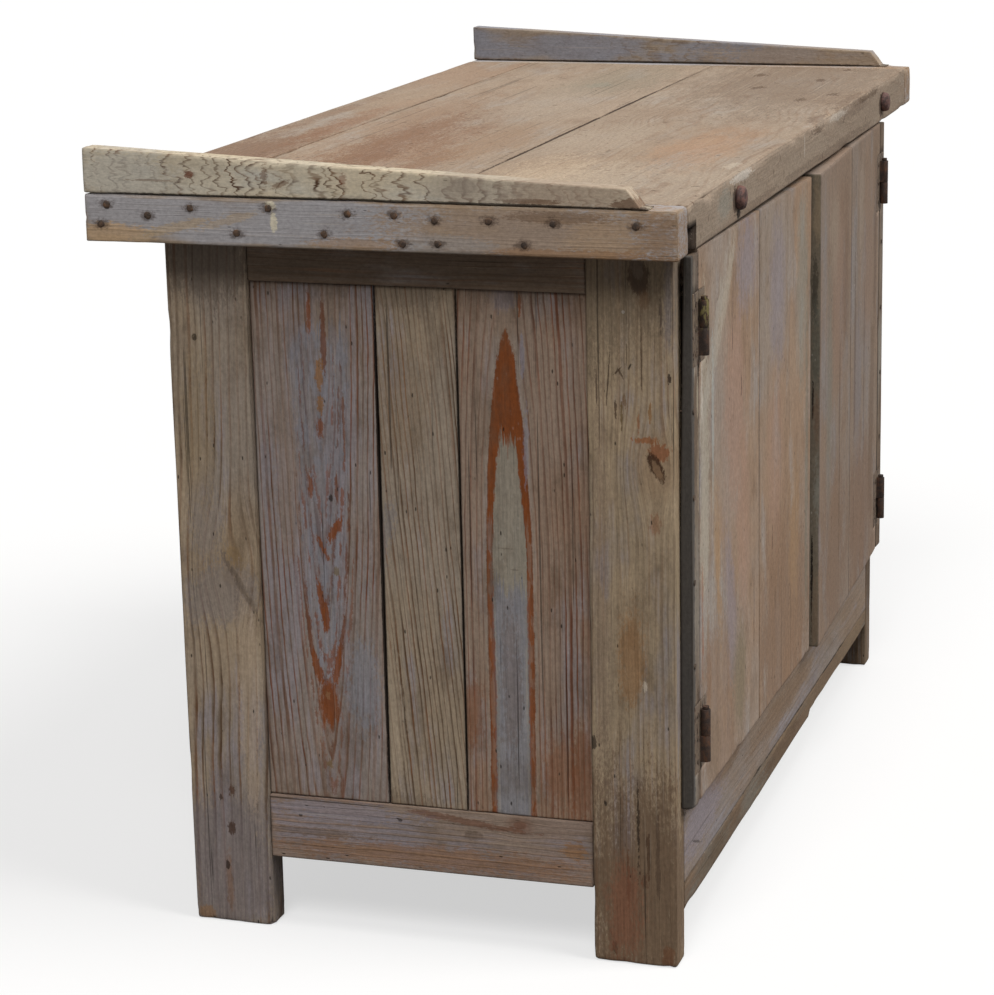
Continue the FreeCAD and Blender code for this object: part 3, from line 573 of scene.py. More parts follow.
def pine(name, grain, face, middle, look):
    """Old pine for one board. Grain and face name axes; look holds the board's own tones and marks."""
    material, tree = start_material(name)
    width_letter = [letter for letter in LETTERS if letter not in (grain, face)][0]
    order = [LETTERS.index(letter) for letter in (grain, width_letter, face)]
    coordinates = put(tree, "ShaderNodeTexCoord").outputs
    feeds = {"Vector": coordinates["Object"], "Location": tuple(-part for part in middle)}
    centred = put(tree, "ShaderNodeMapping", feeds).outputs[0]
    parts = put(tree, "ShaderNodeSeparateXYZ", {0: centred}).outputs
    along, across, depth = [parts[axis] for axis in order]
    mid_along, mid_across, mid_depth = [middle[axis] for axis in order]
    place = {"Along": along, "Across": across, "Depth": depth, "Seed": look["seed"]}
    bent, branches = bent_round_knots(tree, look, along, across, mid_along, mid_across)
    wood = year_rings(tree, look, {**place, "Across": bent})
    weather = fill_group(tree, WEATHER, place)
    arris = put(tree, "ShaderNodeAttribute", attribute_name="arris").outputs["Fac"]
    board = Board(tree, look, along, across, depth, mid_along, mid_across, mid_depth, wood, weather, arris)

    colour = bare_wood(board)
    colour = with_old_paint(board, colour)
    colour = with_ring_bands(board, colour)
    colour = with_knots(board, colour, branches)
    facing = put(tree, "ShaderNodeSeparateXYZ", {0: coordinates["Normal"]}).outputs
    colour = with_marks(board, colour, facing[LETTERS.index(width_letter)])
    colour = with_nail_stains(board, colour)
    colour = with_fine_wear(board, colour)
    rough = ramp(tree, wood["Fibre"], 0.25, 0.75, 0.66, 0.9)
    coat(tree, {
        "Base Color": colour, "Roughness": rough, "Normal": board_relief(board), "Specular IOR Level": 0.2,
    })
    return material


# Loops near the ends of a board's sides, where its edges are round, and how close an extra loop may come
END_LOOPS = (0.0, 0.0008, 0.002, 0.0045, 0.009, 0.016)
LOOP_GAP = 0.0007
# How far from an edge its wear shows, the usual radius of an edge, the least one, and how deep faces are worn
ARRIS_WIDTH = 0.006
EDGE_RADIUS = 0.0022
LEAST_RADIUS = 0.0005
FACE_WEAR = 0.0006
# Places this close are the same
NEARLY = 1e-7


# Worn boards
def stations(low, high, step, extra):
    """Places along one side of a board: close together near its ends, then a steady step, and extra ones."""
    length = high - low
    close = [value for value in END_LOOPS if value < length * 0.4]
    inner = length - 2.0 * close[-1]
    count = max(1, round(inner / step))
    reaches = close + [length - value for value in close]
    reaches += [close[-1] + inner * number / count for number in range(1, count)]
    places = [low + reach for reach in reaches]
    places = [place for place in places if all(abs(place - more) > LOOP_GAP + NEARLY for more in extra)]
    return sorted(places + list(extra))


def board_block(grid):
    """A block with loops at the given places on each axis."""
    block = bmesh.new()
    bmesh.ops.create_cube(block, size=1.0)
    for axis, places in enumerate(grid):
        cuts = len(places) - 2
        if cuts < 1:
            continue
        runs = [edge for edge in block.edges if abs(edge.verts[0].co[axis] - edge.verts[1].co[axis]) > 1e-6]
        bmesh.ops.subdivide_edges(block, edges=runs, cuts=cuts, use_grid_fill=True)
    for vert in block.verts:
        for axis, places in enumerate(grid):
            vert.co[axis] = places[round((vert.co[axis] + 0.5) * (len(places) - 1))]
    return block


def finish_piece(name, mesh_source, material, body, nodes):
    """Turns a bmesh into a scene piece that stands in for its CAD nodes."""
    bmesh.ops.recalc_face_normals(mesh_source, faces=mesh_source.faces)
    for face in mesh_source.faces:
        face.smooth = True
    mesh = bpy.data.meshes.new(name)
    mesh_source.to_mesh(mesh)
    mesh_source.free()
    mesh.materials.append(material)
    piece = bpy.data.objects.new(name, mesh)
    bpy.context.scene.collection.objects.link(piece)
    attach(piece, body)
    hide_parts(*nodes)


def worn_board(node, grain, face, look, body=CASE, low=None, high=None, step=(0.012, 0.006, 0.008),
               soft=EDGE_RADIUS, shape=None, extra=None, radius_at=None, dark_at=None):
    """One board with uneven rounded edges, hollows and chips, worn inside the box from low to high.

    The box is the CAD node's unless it is given. Step is how far apart loops are along, across and through.
    Extra adds loops on the axes it names, shape moves the worn places, radius_at rounds some edges more and
    dark_at picks the places that get painted shade.
    """
    node_low, node_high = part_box(node)
    low = low or node_low
    high = high or node_high
    extra = extra or {}
    seed = look["seed"]
    along = LETTERS.index(grain)
    thick = LETTERS.index(face)
    wide = 3 - along - thick
    steps = [0.0, 0.0, 0.0]
    steps[along], steps[wide], steps[thick] = step
    grid = [stations(low[axis], high[axis], steps[axis], extra.get(LETTERS[axis], ())) for axis in range(3)]
    block = board_block(grid)
    arris = block.verts.layers.float.new("arris")
    stretch = Vector((1.0, 1.0, 1.0))
    stretch[along] = 0.25
    most = min(high[axis] - low[axis] for axis in range(3)) * 0.45
    shift = Vector((seed * 3.1, seed * 1.7, seed * 2.3))
    for vert in block.verts:
        spot = vert.co.copy()
        gaps = sorted(min(spot[axis] - low[axis], high[axis] - spot[axis]) for axis in range(3))
        vert[arris] = max(0.0, 1.0 - gaps[1] / ARRIS_WIDTH)
        # The walls of the notch are marked with 2, which the material turns into painted shade
        if dark_at and dark_at(spot):
            vert[arris] = 2.0
        field = Vector(spot[axis] * stretch[axis] for axis in range(3)) + shift
        broad = noise.noise(field * 22.0)
        chip = max(0.0, noise.noise(field * 75.0 + shift) - 0.34)
        radius = soft if radius_at is None else radius_at(spot, soft)
        radius = radius * (1.0 + 0.55 * broad) + 0.011 * chip * (radius / EDGE_RADIUS)
        radius = min(most, max(LEAST_RADIUS, radius))
        core = Vector(min(max(spot[axis], low[axis] + radius), high[axis] - radius) for axis in range(3))
        out = spot - core
        if out.length > 1e-9 and gaps[1] < radius:
            spot = core + out.normalized() * radius
        hollow = FACE_WEAR * (0.5 + 0.5 * noise.noise(field * 9.0 - shift))
        hollow += FACE_WEAR * 0.7 * max(0.0, noise.noise(field * 48.0))
        for axis in range(3):
            if abs(vert.co[axis] - low[axis]) < NEARLY:
                spot[axis] += hollow
            elif abs(vert.co[axis] - high[axis]) < NEARLY:
                spot[axis] -= hollow
        vert.co = shape(spot) if shape else spot
    bmesh.ops.dissolve_degenerate(block, dist=1e-6, edges=block.edges)
    middle = (low + high) / 2.0
    material = pine(node + "_pine", grain, face, tuple(middle), look)
    finish_piece(node + "_worn", block, material, body, [node])


# Places and sizes of the boards, from the frame where it has them
def low_of(node):
    """The low corner of a CAD node's box."""
    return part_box(node)[0]


def high_of(node):
    """The high corner of a CAD node's box."""
    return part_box(node)[1]


WORKTOP_FRONT = low_of("top_plank_front").y
WORKTOP_BACK = high_of("top_plank_back").y
WORKTOP_UNDER = low_of("top_plank_front").z
WORKTOP_RADIUS = 0.0026
# A skin is how deep a worn face may lie behind its first place
WORKTOP_SKIN = 0.0025
NOTCH_DEEP = 0.040
NOTCH_TALL = 0.026
NOTCH_HIGH = Vector((-0.572, WORKTOP_FRONT + NOTCH_DEEP, WORKTOP_UNDER + NOTCH_TALL))
NOTCH_WALL = Vector((0.0004, 0.0004, 0.0005))
NOTCH_STEPS = {"X": (-0.0004, 0.0003, 0.0009), "Y": (-0.0004, 0.0003), "Z": (-0.0003, 0.0004)}
LIP_FRONT = -0.270
LIP_BACK = high_of("end_lip_left").y
LIP_BASE = low_of("end_lip_left").z
LIP_SLOPE = 0.014
LIP_LOW = 0.020
LIP_HIGH = high_of("end_lip_left").z - LIP_BASE
# Rails and end planks show between the legs and between each other, without their tenons and tongues
RAIL_LEFT = high_of("leg_front_left").x
RAIL_RIGHT = low_of("leg_front_right").x
RAIL_FRONT = high_of("leg_front_left").y
RAIL_BACK = low_of("leg_back_left").y
PLANK_LOW = high_of("end_bottom_rail_left").z
PLANK_HIGH = low_of("end_top_rail_left").z
END_PLANK_RADIUS = 0.0011
END_RAIL_RADIUS = 0.0013
# How high the feet are ragged, how high the strip is worn, and where and how tall its missing splinter is
FOOT_WORN = 0.014
FOOT_RADIUS = 0.0035
STRIP_LOW = low_of("front_bottom_strip").z
STRIP_SOUND = 0.075
SPLINTER_START = 0.062
SPLINTER_TALL = 0.007
# Laths and doors, with the beds for the hinge leaves in them
LATH_EDGES = {"left": high_of("hinge_lath_left").x, "right": low_of("hinge_lath_right").x}
LATH_RADIUS = 0.0015
LATH_TOP = high_of("hinge_lath_left").z
LATH_TAPER = 0.0045
LATH_TAPER_LENGTH = 0.287
LATH_MIDDLE = -0.299
HINGE_HEIGHTS = (0.241, 0.670)
LEAF_HALF = 0.0371
LEAF_REACH = 0.0239
LEAF_THICK = 0.002
LEAF_SKIN = 0.0019
BED_LOOP = 0.0003
door_axes = {joint["child"]: Vector((*joint["pos_m"][:2], 0.0)) for joint in frame["joints"]}
LEFT_AXIS = door_axes["left_door"]
RIGHT_AXIS = door_axes["right_door"]
DOOR_FRONT = low_of("left_door_hinge_plank").y
DOOR_BACK = high_of("left_door_hinge_plank").y
DOOR_LOW = low_of("hinge_lath_left").z
DOOR_HIGH = 0.7488
DOOR_SAG = {"left": 0.0075, "right": 0.005}
DOOR_GAP = 0.0008
LEFT_STOP = high_of("left_door_meeting_plank").x - LEFT_AXIS.x
LEFT_SEAM = high_of("left_door_hinge_plank").x - LEFT_AXIS.x
RIGHT_STOP = 0.4361
RIGHT_SEAM = 0.2188
AJAR = Matrix.Rotation(math.radians(1.4), 3, "Z")
LEDGES = ("low_ledge", "high_ledge")
LEDGE_BACK = high_of("left_door_low_ledge").y
LEDGE_NEAR = low_of("left_door_low_ledge").x - LEFT_AXIS.x
LEDGE_FAR = high_of("left_door_meeting_plank").x - high_of("left_door_low_ledge").x

# Looks of the kinds of board
END_LOOK = {
    "light": BARE_END, "second": tone(152, 139, 126), "third": tone(142, 134, 130), "dark": LATE_END,
    "warm": WARM_LINE, "paint": OLD_BLUE, "cover": 0.42, "opaque": 0.6, "ring": 0.0064,
    "pith": (0.25, 0.05, 0.0, 0.0), "wave": 0.016, "rim": 0.45, "late": 1.0, "faded": 0.5, "grime": 0.45,
    "worm": 0.8,
}
TOP_LOOK = {
    "light": BARE_TOP, "second": tone(160, 141, 122), "third": tone(166, 152, 138), "dark": LATE_TOP,
    "warm": tone(138, 108, 84), "paint": OLD_GREY, "cover": 0.3, "opaque": 0.3, "ring": 0.007,
    "pith": (0.05, 0.05, 0.01, -0.5), "wave": 0.05, "rim": 0.35, "late": 0.24, "relief": 0.5, "fibre": 0.34,
    "mottle": 1.1, "streak": 0.2, "check": 0.3, "worm": 0.6, "nick": 0.9, "grime": 0.4, "gain": 0.93,
    "grime_tone": tone(132, 108, 88),
}
CLEAT_LOOK = {
    "light": tone(172, 156, 138), "second": tone(164, 144, 122), "dark": tone(110, 90, 72),
    "warm": tone(126, 98, 74), "paint": tone(168, 167, 172), "cover": 0.64, "opaque": 0.85, "lined": 0.25,
    "ring": 0.006, "pith": (0.12, 0.03, 0.0, 0.0), "wave": 0.012, "rim": 0.4, "fibre": 0.26, "streak": 0.15,
    "late": 0.2, "relief": 0.35, "grime": 0.25, "worm": 0.4, "check": 0.2,
}
DOOR_LOOK = {
    "light": tone(164, 149, 137), "second": tone(164, 138, 116), "third": tone(156, 150, 150), "thirds": 0.8,
    "dark": LATE_DOOR, "warm": tone(138, 108, 86), "paint": tone(176, 164, 148), "cover": 0.36,
    "opaque": 0.45, "lined": 0.5, "ring": 0.009, "pith": (0.1, 0.03, 0.02, -0.1), "wave": 0.02, "rim": 0.4,
    "late": 0.22, "fleck": 0.55, "fibre": 0.45, "mottle": 1.0, "streak": 0.3, "relief": 0.4, "worm": 0.8,
    "check": 0.3, "scratch": 0.12, "grime": 0.5, "grime_tone": tone(122, 100, 80),
}
RAIL_LOOK = {
    **DOOR_LOOK,
    "light": tone(146, 136, 130), "second": tone(144, 126, 110), "third": tone(138, 132, 136), "fibre": 0.6,
    "paint": tone(152, 146, 148), "late": 0.35, "worm": 0.6,
}
STRIP_LOOK = {
    **DOOR_LOOK,
    "light": tone(126, 108, 88), "second": tone(118, 98, 80), "third": tone(112, 104, 94), "fibre": 0.7,
    "paint": tone(128, 122, 112), "late": 0.4, "grime": 0.5, "grime_tone": tone(84, 66, 50),
}
INNER_LOOK = {
    "light": tone(168, 146, 118), "second": tone(152, 128, 100), "dark": tone(122, 94, 68), "ring": 0.006,
    "pith": (0.06, 0.05, 0.01, -0.4), "wave": 0.025, "rim": 0.6, "worm": 0.4, "late": 0.7,
}


# Worktop planks: where their front edge is knocked round, from where it is worse, and its least radius
KNOCKED_FRONT = -0.280
KNOCKED_TOP = 0.785
MORE_KNOCKED_FROM = -0.1
KNOCKED_RADIUS = 0.004


def in_notch(spot):
    """True under the left front corner of the worktop, where the wood is cut away."""
    return spot.x < NOTCH_HIGH.x and spot.y < NOTCH_HIGH.y and spot.z < NOTCH_HIGH.z


def notch_places():
    """Loops of the front plank close to the walls of the notch."""
    return {
        letter: [NOTCH_HIGH[LETTERS.index(letter)] + step for step in steps]
        for letter, steps in NOTCH_STEPS.items()
    }


def front_plank_shape(spot):
    """Cuts the notch under the left front corner: its loops move to its ceiling or to its back wall."""
    if not in_notch(spot):
        return spot
    to_ceiling = Vector((spot.x, spot.y, NOTCH_HIGH.z))
    to_wall = Vector((spot.x, NOTCH_HIGH.y, spot.z))
    if (NOTCH_HIGH.y - spot.y) / NOTCH_DEEP < (NOTCH_HIGH.z - spot.z) / NOTCH_TALL:
        return to_ceiling if spot.z < WORKTOP_UNDER + WORKTOP_SKIN else to_wall
    return to_wall if spot.y < WORKTOP_FRONT + WORKTOP_SKIN else to_ceiling


def beside_notch(spot):
    """True on the walls of the notch, which get painted shade."""
    beside = NOTCH_HIGH + NOTCH_WALL
    return spot.x < beside.x and spot.y < beside.y and spot.z < beside.z


def front_edge_radius(spot, soft):
    """The upper front edge of the worktop is worn and knocked much rounder than the rest."""
    if spot.y < KNOCKED_FRONT and spot.z > KNOCKED_TOP:
        bigger = 1.0 if spot.x < MORE_KNOCKED_FROM else 1.6
        chips = 0.006 * max(0.0, noise.noise(spot * 34.0))
        chips += 0.008 * max(0.0, noise.noise(spot * 85.0) - 0.1)
        return KNOCKED_RADIUS + bigger * chips
    return soft


# Pockets in the back edge for the nuts of the tie bolts
BOLT_PLACES = (-0.392, 0.436)
BOLT_HEIGHT = 0.775
NUT_POCKET = 0.0157
NUT_POCKET_DEPTH = 0.014
POCKET_LOOPS = (0.0, 0.0052, 0.0104, 0.0152, NUT_POCKET)


def nut_places():
    """Loops of the back plank round its two pockets."""
    steps = sorted({way * loop for loop in POCKET_LOOPS for way in (-1.0, 1.0)})
    across = [place + step for place in BOLT_PLACES for step in steps]
    return {"X": across, "Z": [BOLT_HEIGHT + step for step in steps]}


def back_plank_shape(spot):
    """Sinks a round pocket for each nut into the back edge."""
    for place in BOLT_PLACES:
        across = (spot.x - place) / NUT_POCKET
        upward = (spot.z - BOLT_HEIGHT) / NUT_POCKET
        if spot.y > WORKTOP_BACK - WORKTOP_SKIN and abs(across) < 1.001 and abs(upward) < 1.001:
            deep = NUT_POCKET_DEPTH if max(abs(across), abs(upward)) < 0.98 else 0.0
            round_across = place + across * math.sqrt(1.0 - upward * upward / 2.0) * NUT_POCKET
            round_up = BOLT_HEIGHT + upward * math.sqrt(1.0 - across * across / 2.0) * NUT_POCKET
            return Vector((round_across, spot.y - deep, round_up))
    return spot


def foot_radius(spot, soft):
    """The feet are worn round and ragged where they stand on the ground."""
    return FOOT_RADIUS + 0.004 * max(0.0, noise.noise(spot * 45.0)) if spot.z < FOOT_WORN else soft


def strip_shape(spot):
    """The lower edge of the strip is uneven, and a splinter is missing along its far half."""
    if spot.z < STRIP_SOUND:
        lift = 0.0025 + 0.0025 * noise.noise(Vector((spot.x * 9.0, 1.7, 0.4)))
        lift += SPLINTER_TALL if spot.x > SPLINTER_START else 0.0
        spot.z += lift * max(0.0, (STRIP_SOUND - spot.z) / (STRIP_SOUND - STRIP_LOW))
    return spot


TICK = tone(92, 72, 56)
PLANK_SEAM = tone(60, 44, 34)
worn_board(
    "top_plank_front", "X", "Z",
    look_of(
        TOP_LOOK, 3.1, knots=(Knot(0.05, -0.14, 0.016, RED_BROWN, 0.0),), halo=tone(160, 140, 120), late=0.52,
        pith=(-0.03, 0.03, 0.02, 0.0), ring=0.010, wave=0.12, jitter=0.012, check=0.1,
        marks=(
            Mark(0.0, -0.037, 0.64, 0.0028, PLANK_SEAM, 0.9, 0.4),
            Mark(-0.42, -0.13, 0.26, 0.09, tone(164, 140, 116), 0.4, 1.2, soft=0.5),
            Mark(-0.20, -0.225, 0.17, 0.045, tone(176, 138, 108), 0.5, 1.3, soft=0.5),
            Mark(-0.46, -0.17, 0.12, 0.08, tone(182, 166, 147), 0.5, 1.2, soft=0.5),
            Mark(0.42, -0.20, 0.36, 0.14, tone(122, 104, 88), 0.6, 1.1, soft=0.45),
            Mark(-0.16, -0.10, 0.14, 0.05, tone(176, 160, 142), 0.5, 1.2, soft=0.5),
            Mark(0.06, -0.296, 0.05, 0.010, tone(112, 92, 76), 0.5, 0.9),
            Mark(0.24, -0.298, 0.08, 0.008, tone(112, 92, 76), 0.5, 0.9),
            Mark(0.45, -0.22, 0.013, 0.007, TICK, 0.8, 2.3),
            Mark(0.30, -0.27, 0.012, 0.007, TICK, 0.8, 2.3),
            Mark(0.12, -0.285, 0.013, 0.005, TICK, 0.7, 2.3),
            Mark(-0.33, -0.288, 0.03, 0.010, PALE, 0.5, 1.2),
            Mark(0.36, -0.16, 0.011, 0.009, TICK, 0.8, 2.4),
            Mark(0.50, -0.13, 0.012, 0.009, TICK, 0.8, 2.4),
            Mark(-0.484, -0.286, 0.002, 0.006, TICK, 0.8, 1.4),
            Mark(-0.261, -0.254, 0.004, 0.003, TICK, 0.7, 1.6),
            Mark(-0.257, -0.233, 0.006, 0.002, TICK, 0.6, 1.4),
            Mark(-0.52, -0.250, 0.003, 0.003, TICK, 0.6, 1.6),
            Mark(-0.25, -0.127, 0.010, 0.002, TICK, 0.5, 1.6),
            Mark(0.24, -0.239, 0.014, 0.006, TICK, 0.8, 2.3),
            Mark(0.576, -0.236, 0.012, 0.010, TICK, 0.8, 2.3),
            Mark(0.10, -0.13, 0.05, 0.03, tone(150, 126, 104), 0.5, 1.4, soft=0.5),
            Mark(-0.42, -0.11, 0.12, 0.045, tone(200, 178, 152), 0.45, 1.2, soft=0.5),
        ),
        edge_marks=(
            Mark(0.0, 0.775, 0.80, 0.05, tone(160, 143, 126), 0.7, 0.5),
            Mark(-0.55, 0.775, 0.07, 0.05, tone(152, 136, 120), 0.5, 0.9),
            Mark(-0.055, 0.783, 0.0013, 0.014, CHALK, 0.85, 0.3),
            # Painted shadow: a dark crescent left of the bolt head
            Mark(-0.406, 0.774, 0.010, 0.017, tone(62, 46, 38), 0.85, 0.5),
            Mark(-0.389, 0.7575, 0.010, 0.006, tone(26, 18, 12), 0.95, 0.4),
            Mark(-0.450, 0.775, 0.034, 0.018, tone(150, 148, 138), 0.6, 0.9),
            # Painted shadow: a dark crescent left of the bolt head
            Mark(0.424, 0.772, 0.012, 0.018, tone(62, 46, 38), 0.8, 0.5),
            Mark(-0.37, 0.795, 0.05, 0.006, CHALK, 0.6, 1.3),
            Mark(0.10, 0.758, 0.30, 0.006, tone(104, 86, 72), 0.4, 1.0),
            Mark(-0.30, 0.757, 0.12, 0.005, tone(112, 92, 76), 0.4, 1.0),
            Mark(0.25, 0.790, 0.10, 0.010, tone(124, 106, 92), 0.5, 1.0),
            Mark(0.02, 0.792, 0.05, 0.005, TICK, 0.6, 1.4),
            Mark(0.33, 0.794, 0.07, 0.004, TICK, 0.6, 1.4),
            Mark(0.14, 0.793, 0.05, 0.004, CHALK, 0.35, 1.4),
        ),
    ),
    step=(0.010, 0.008, 0.01), soft=WORKTOP_RADIUS, shape=front_plank_shape,
    radius_at=front_edge_radius, dark_at=beside_notch, extra=notch_places(),
)
worn_board(
    "top_plank_middle", "X", "Z",
    look_of(
        TOP_LOOK, 7.4, light=tone(166, 147, 128), pith=(0.04, 0.05, 0.01, -0.3),
        marks=(
            Mark(0.0, -0.038, 0.64, 0.0028, PLANK_SEAM, 0.9, 0.4),
            Mark(-0.36, 0.11, 0.24, 0.08, tone(148, 116, 90), 0.5, 1.2, soft=0.5),
            Mark(-0.34, 0.115, 0.10, 0.024, tone(124, 92, 70), 0.55, 1.3, soft=0.45),
            Mark(-0.36, 0.045, 0.11, 0.020, tone(128, 96, 74), 0.5, 1.3, soft=0.45),
            Mark(-0.05, 0.17, 0.30, 0.05, tone(146, 116, 92), 0.5, 1.2, soft=0.5),
            Mark(0.353, 0.053, 0.035, 0.014, MOSS, 0.6, 0.9),
            Mark(0.18, 0.06, 0.22, 0.06, tone(166, 150, 133), 0.5, 0.9),
            Mark(-0.20, 0.02, 0.16, 0.04, tone(150, 120, 94), 0.45, 1.0),
            Mark(-0.19, 0.130, 0.25, 0.042, tone(126, 93, 71), 0.65, 1.3, soft=0.5),
            Mark(-0.17, 0.078, 0.20, 0.022, tone(134, 102, 80), 0.45, 1.3, soft=0.5),
            Mark(0.42, 0.040, 0.17, 0.060, tone(134, 124, 106), 0.5, 1.2, soft=0.5),
        ),
    ),
    step=(0.014, 0.008, 0.01), soft=WORKTOP_RADIUS,
)
worn_board(
    "top_plank_back", "X", "Z",
    look_of(
        TOP_LOOK, 11.9, light=tone(160, 136, 115), pith=(0.10, 0.05, 0.01, -0.3),
        marks=(
            Mark(0.0, 0.225, 0.64, 0.0012, PLANK_SEAM, 0.6, 0.6),
            Mark(-0.40, 0.27, 0.30, 0.06, tone(122, 94, 74), 0.75, 1.1, soft=0.45),
            Mark(-0.45, 0.245, 0.12, 0.010, tone(110, 82, 64), 0.5, 1.3, soft=0.4),
            Mark(0.0, 0.30, 0.18, 0.012, tone(132, 104, 84), 0.5, 1.3, soft=0.4),
            Mark(0.2, 0.26, 0.2, 0.03, tone(168, 146, 124), 0.4, 0.9),
            Mark(-0.08, 0.247, 0.17, 0.024, tone(138, 100, 74), 0.55, 1.3, soft=0.5),
        ),
    ),
    step=(0.014, 0.008, 0.01), shape=back_plank_shape, extra=nut_places(),
)

# Cleats and lips across the worktop's ends
def lip_shape(spot):
    """The lip climbs from the front to the back."""
    rise = min(1.0, max(0.0, (spot.y - LIP_FRONT) / LIP_SLOPE))
    climb = (spot.y - LIP_FRONT - LIP_SLOPE) / (LIP_BACK - LIP_FRONT - LIP_SLOPE)
    tall = rise * (LIP_LOW + (LIP_HIGH - LIP_LOW) * max(0.0, climb))
    return Vector((spot.x, spot.y, LIP_BASE + (spot.z - LIP_BASE) / LIP_HIGH * max(tall, 0.0008)))


NAIL_PLACES = (
    (0.292, 0.789), (0.299, 0.769), (0.247, 0.779), (0.200, 0.788), (0.150, 0.764), (0.115, 0.790),
    (0.056, 0.766), (0.031, 0.787), (-0.018, 0.787), (-0.026, 0.759), (-0.060, 0.783), (-0.063, 0.760),
    (-0.116, 0.784), (-0.152, 0.762), (-0.182, 0.784), (-0.265, 0.784),
)
cleat_marks = (
    Mark(-0.17, 0.772, 0.17, 0.05, tone(160, 134, 108), 0.75, 1.0),
    Mark(-0.232, 0.770, 0.04, 0.025, tone(178, 149, 118), 0.5, 1.1, soft=0.5),
    Mark(0.285, 0.759, 0.045, 0.012, tone(190, 160, 126), 0.8, 1.0),
    Mark(0.215, 0.768, 0.05, 0.006, tone(180, 158, 130), 0.7, 1.0, lean=0.25),
    Mark(0.160, 0.776, 0.04, 0.005, tone(178, 158, 134), 0.6, 1.0, lean=0.3),
    Mark(-0.20, 0.754, 0.12, 0.006, OCHRE, 0.5, 0.9),
    Mark(-0.07, 0.758, 0.06, 0.012, tone(156, 150, 146), 0.6, 1.0),
    Mark(0.02, 0.757, 0.05, 0.008, tone(164, 132, 100), 0.6, 1.0),
    Mark(0.113, 0.793, 0.007, 0.005, tone(222, 212, 188), 0.85, 0.9),
    Mark(0.110, 0.777, 0.0040, 0.013, tone(222, 212, 188), 0.85, 0.8),
    Mark(-0.288, 0.772, 0.026, 0.03, tone(144, 116, 90), 0.65, 1.1, soft=0.5),
    Mark(-0.19, 0.79, 0.06, 0.006, tone(112, 86, 64), 0.5, 1.0),
)
lip_marks = (
    Mark(0.27, 0.82, 0.06, 0.03, tone(194, 188, 176), 0.7, 0.9),
    Mark(-0.20, 0.812, 0.085, 0.03, tone(170, 150, 131), 0.8, 0.9, soft=0.5),
    Mark(-0.258, 0.804, 0.02, 0.007, tone(104, 74, 52), 0.7, 1.1),
    Mark(-0.16, 0.805, 0.03, 0.0025, tone(112, 84, 62), 0.7, 1.2),
    Mark(-0.09, 0.815, 0.05, 0.02, tone(172, 162, 150), 0.4, 1.0, soft=0.5),
    Mark(0.200, 0.821, 0.0045, 0.004, tone(112, 66, 46), 0.8, 1.3),
    Mark(0.0, 0.801, 0.32, 0.0018, SEAM_DARK, 0.8, 0.5),
    Mark(0.118, 0.824, 0.005, 0.012, tone(112, 78, 56), 0.6, 1.4),
    Mark(0.10, 0.815, 0.012, 0.003, tone(108, 76, 54), 0.6, 1.3, lean=0.3),
    Mark(0.035, 0.820, 0.004, 0.007, tone(128, 78, 58), 0.5, 1.4),
    Mark(0.24, 0.815, 0.03, 0.0014, tone(112, 86, 66), 0.5, 1.2),
)
lip_looks = {
    "left": look_of(
        CLEAT_LOOK, 23.0, light=tone(206, 191, 165), second=tone(202, 191, 171), dark=tone(88, 64, 48),
        paint=tone(192, 190, 182), cover=0.36, ring=0.0085, wave=0.06, jitter=0.03, late=1.6, faded=0.75,
        bold=-0.03, relief=0.25, pith=(0.0, 0.035, 0.46, -0.32), marks=lip_marks,
        knots=(Knot(-0.091, 0.818, 0.009, tone(140, 124, 108), 0.5),), halo=tone(150, 128, 106),
    ),
    "right": look_of(
        CLEAT_LOOK, 26.5, light=tone(152, 137, 120), second=tone(148, 136, 126), paint=tone(138, 140, 150),
        cover=0.6, ring=0.009, wave=0.05, jitter=0.03, late=1.2, faded=0.3, pith=(0.0, 0.035, 0.30, -0.32),
        marks=(
            Mark(-0.16, 0.81, 0.14, 0.03, tone(160, 140, 118), 0.6, 1.0),
            Mark(0.0, 0.801, 0.32, 0.0018, SEAM_DARK, 0.8, 0.5),
        ),
    ),
}
for end, seed in (("left", 21.3), ("right", 24.8)):
    cleat_look = look_of(CLEAT_LOOK, seed, marks=cleat_marks, spots=NAIL_PLACES)
    worn_board("top_cleat_" + end, "Y", "X", cleat_look, step=(0.006, 0.005, 0.01),
               soft=WORKTOP_RADIUS, radius_at=front_edge_radius)
    worn_board("end_lip_" + end, "Y", "X", lip_looks[end], step=(0.007, 0.005, 0.008),
               shape=lip_shape)

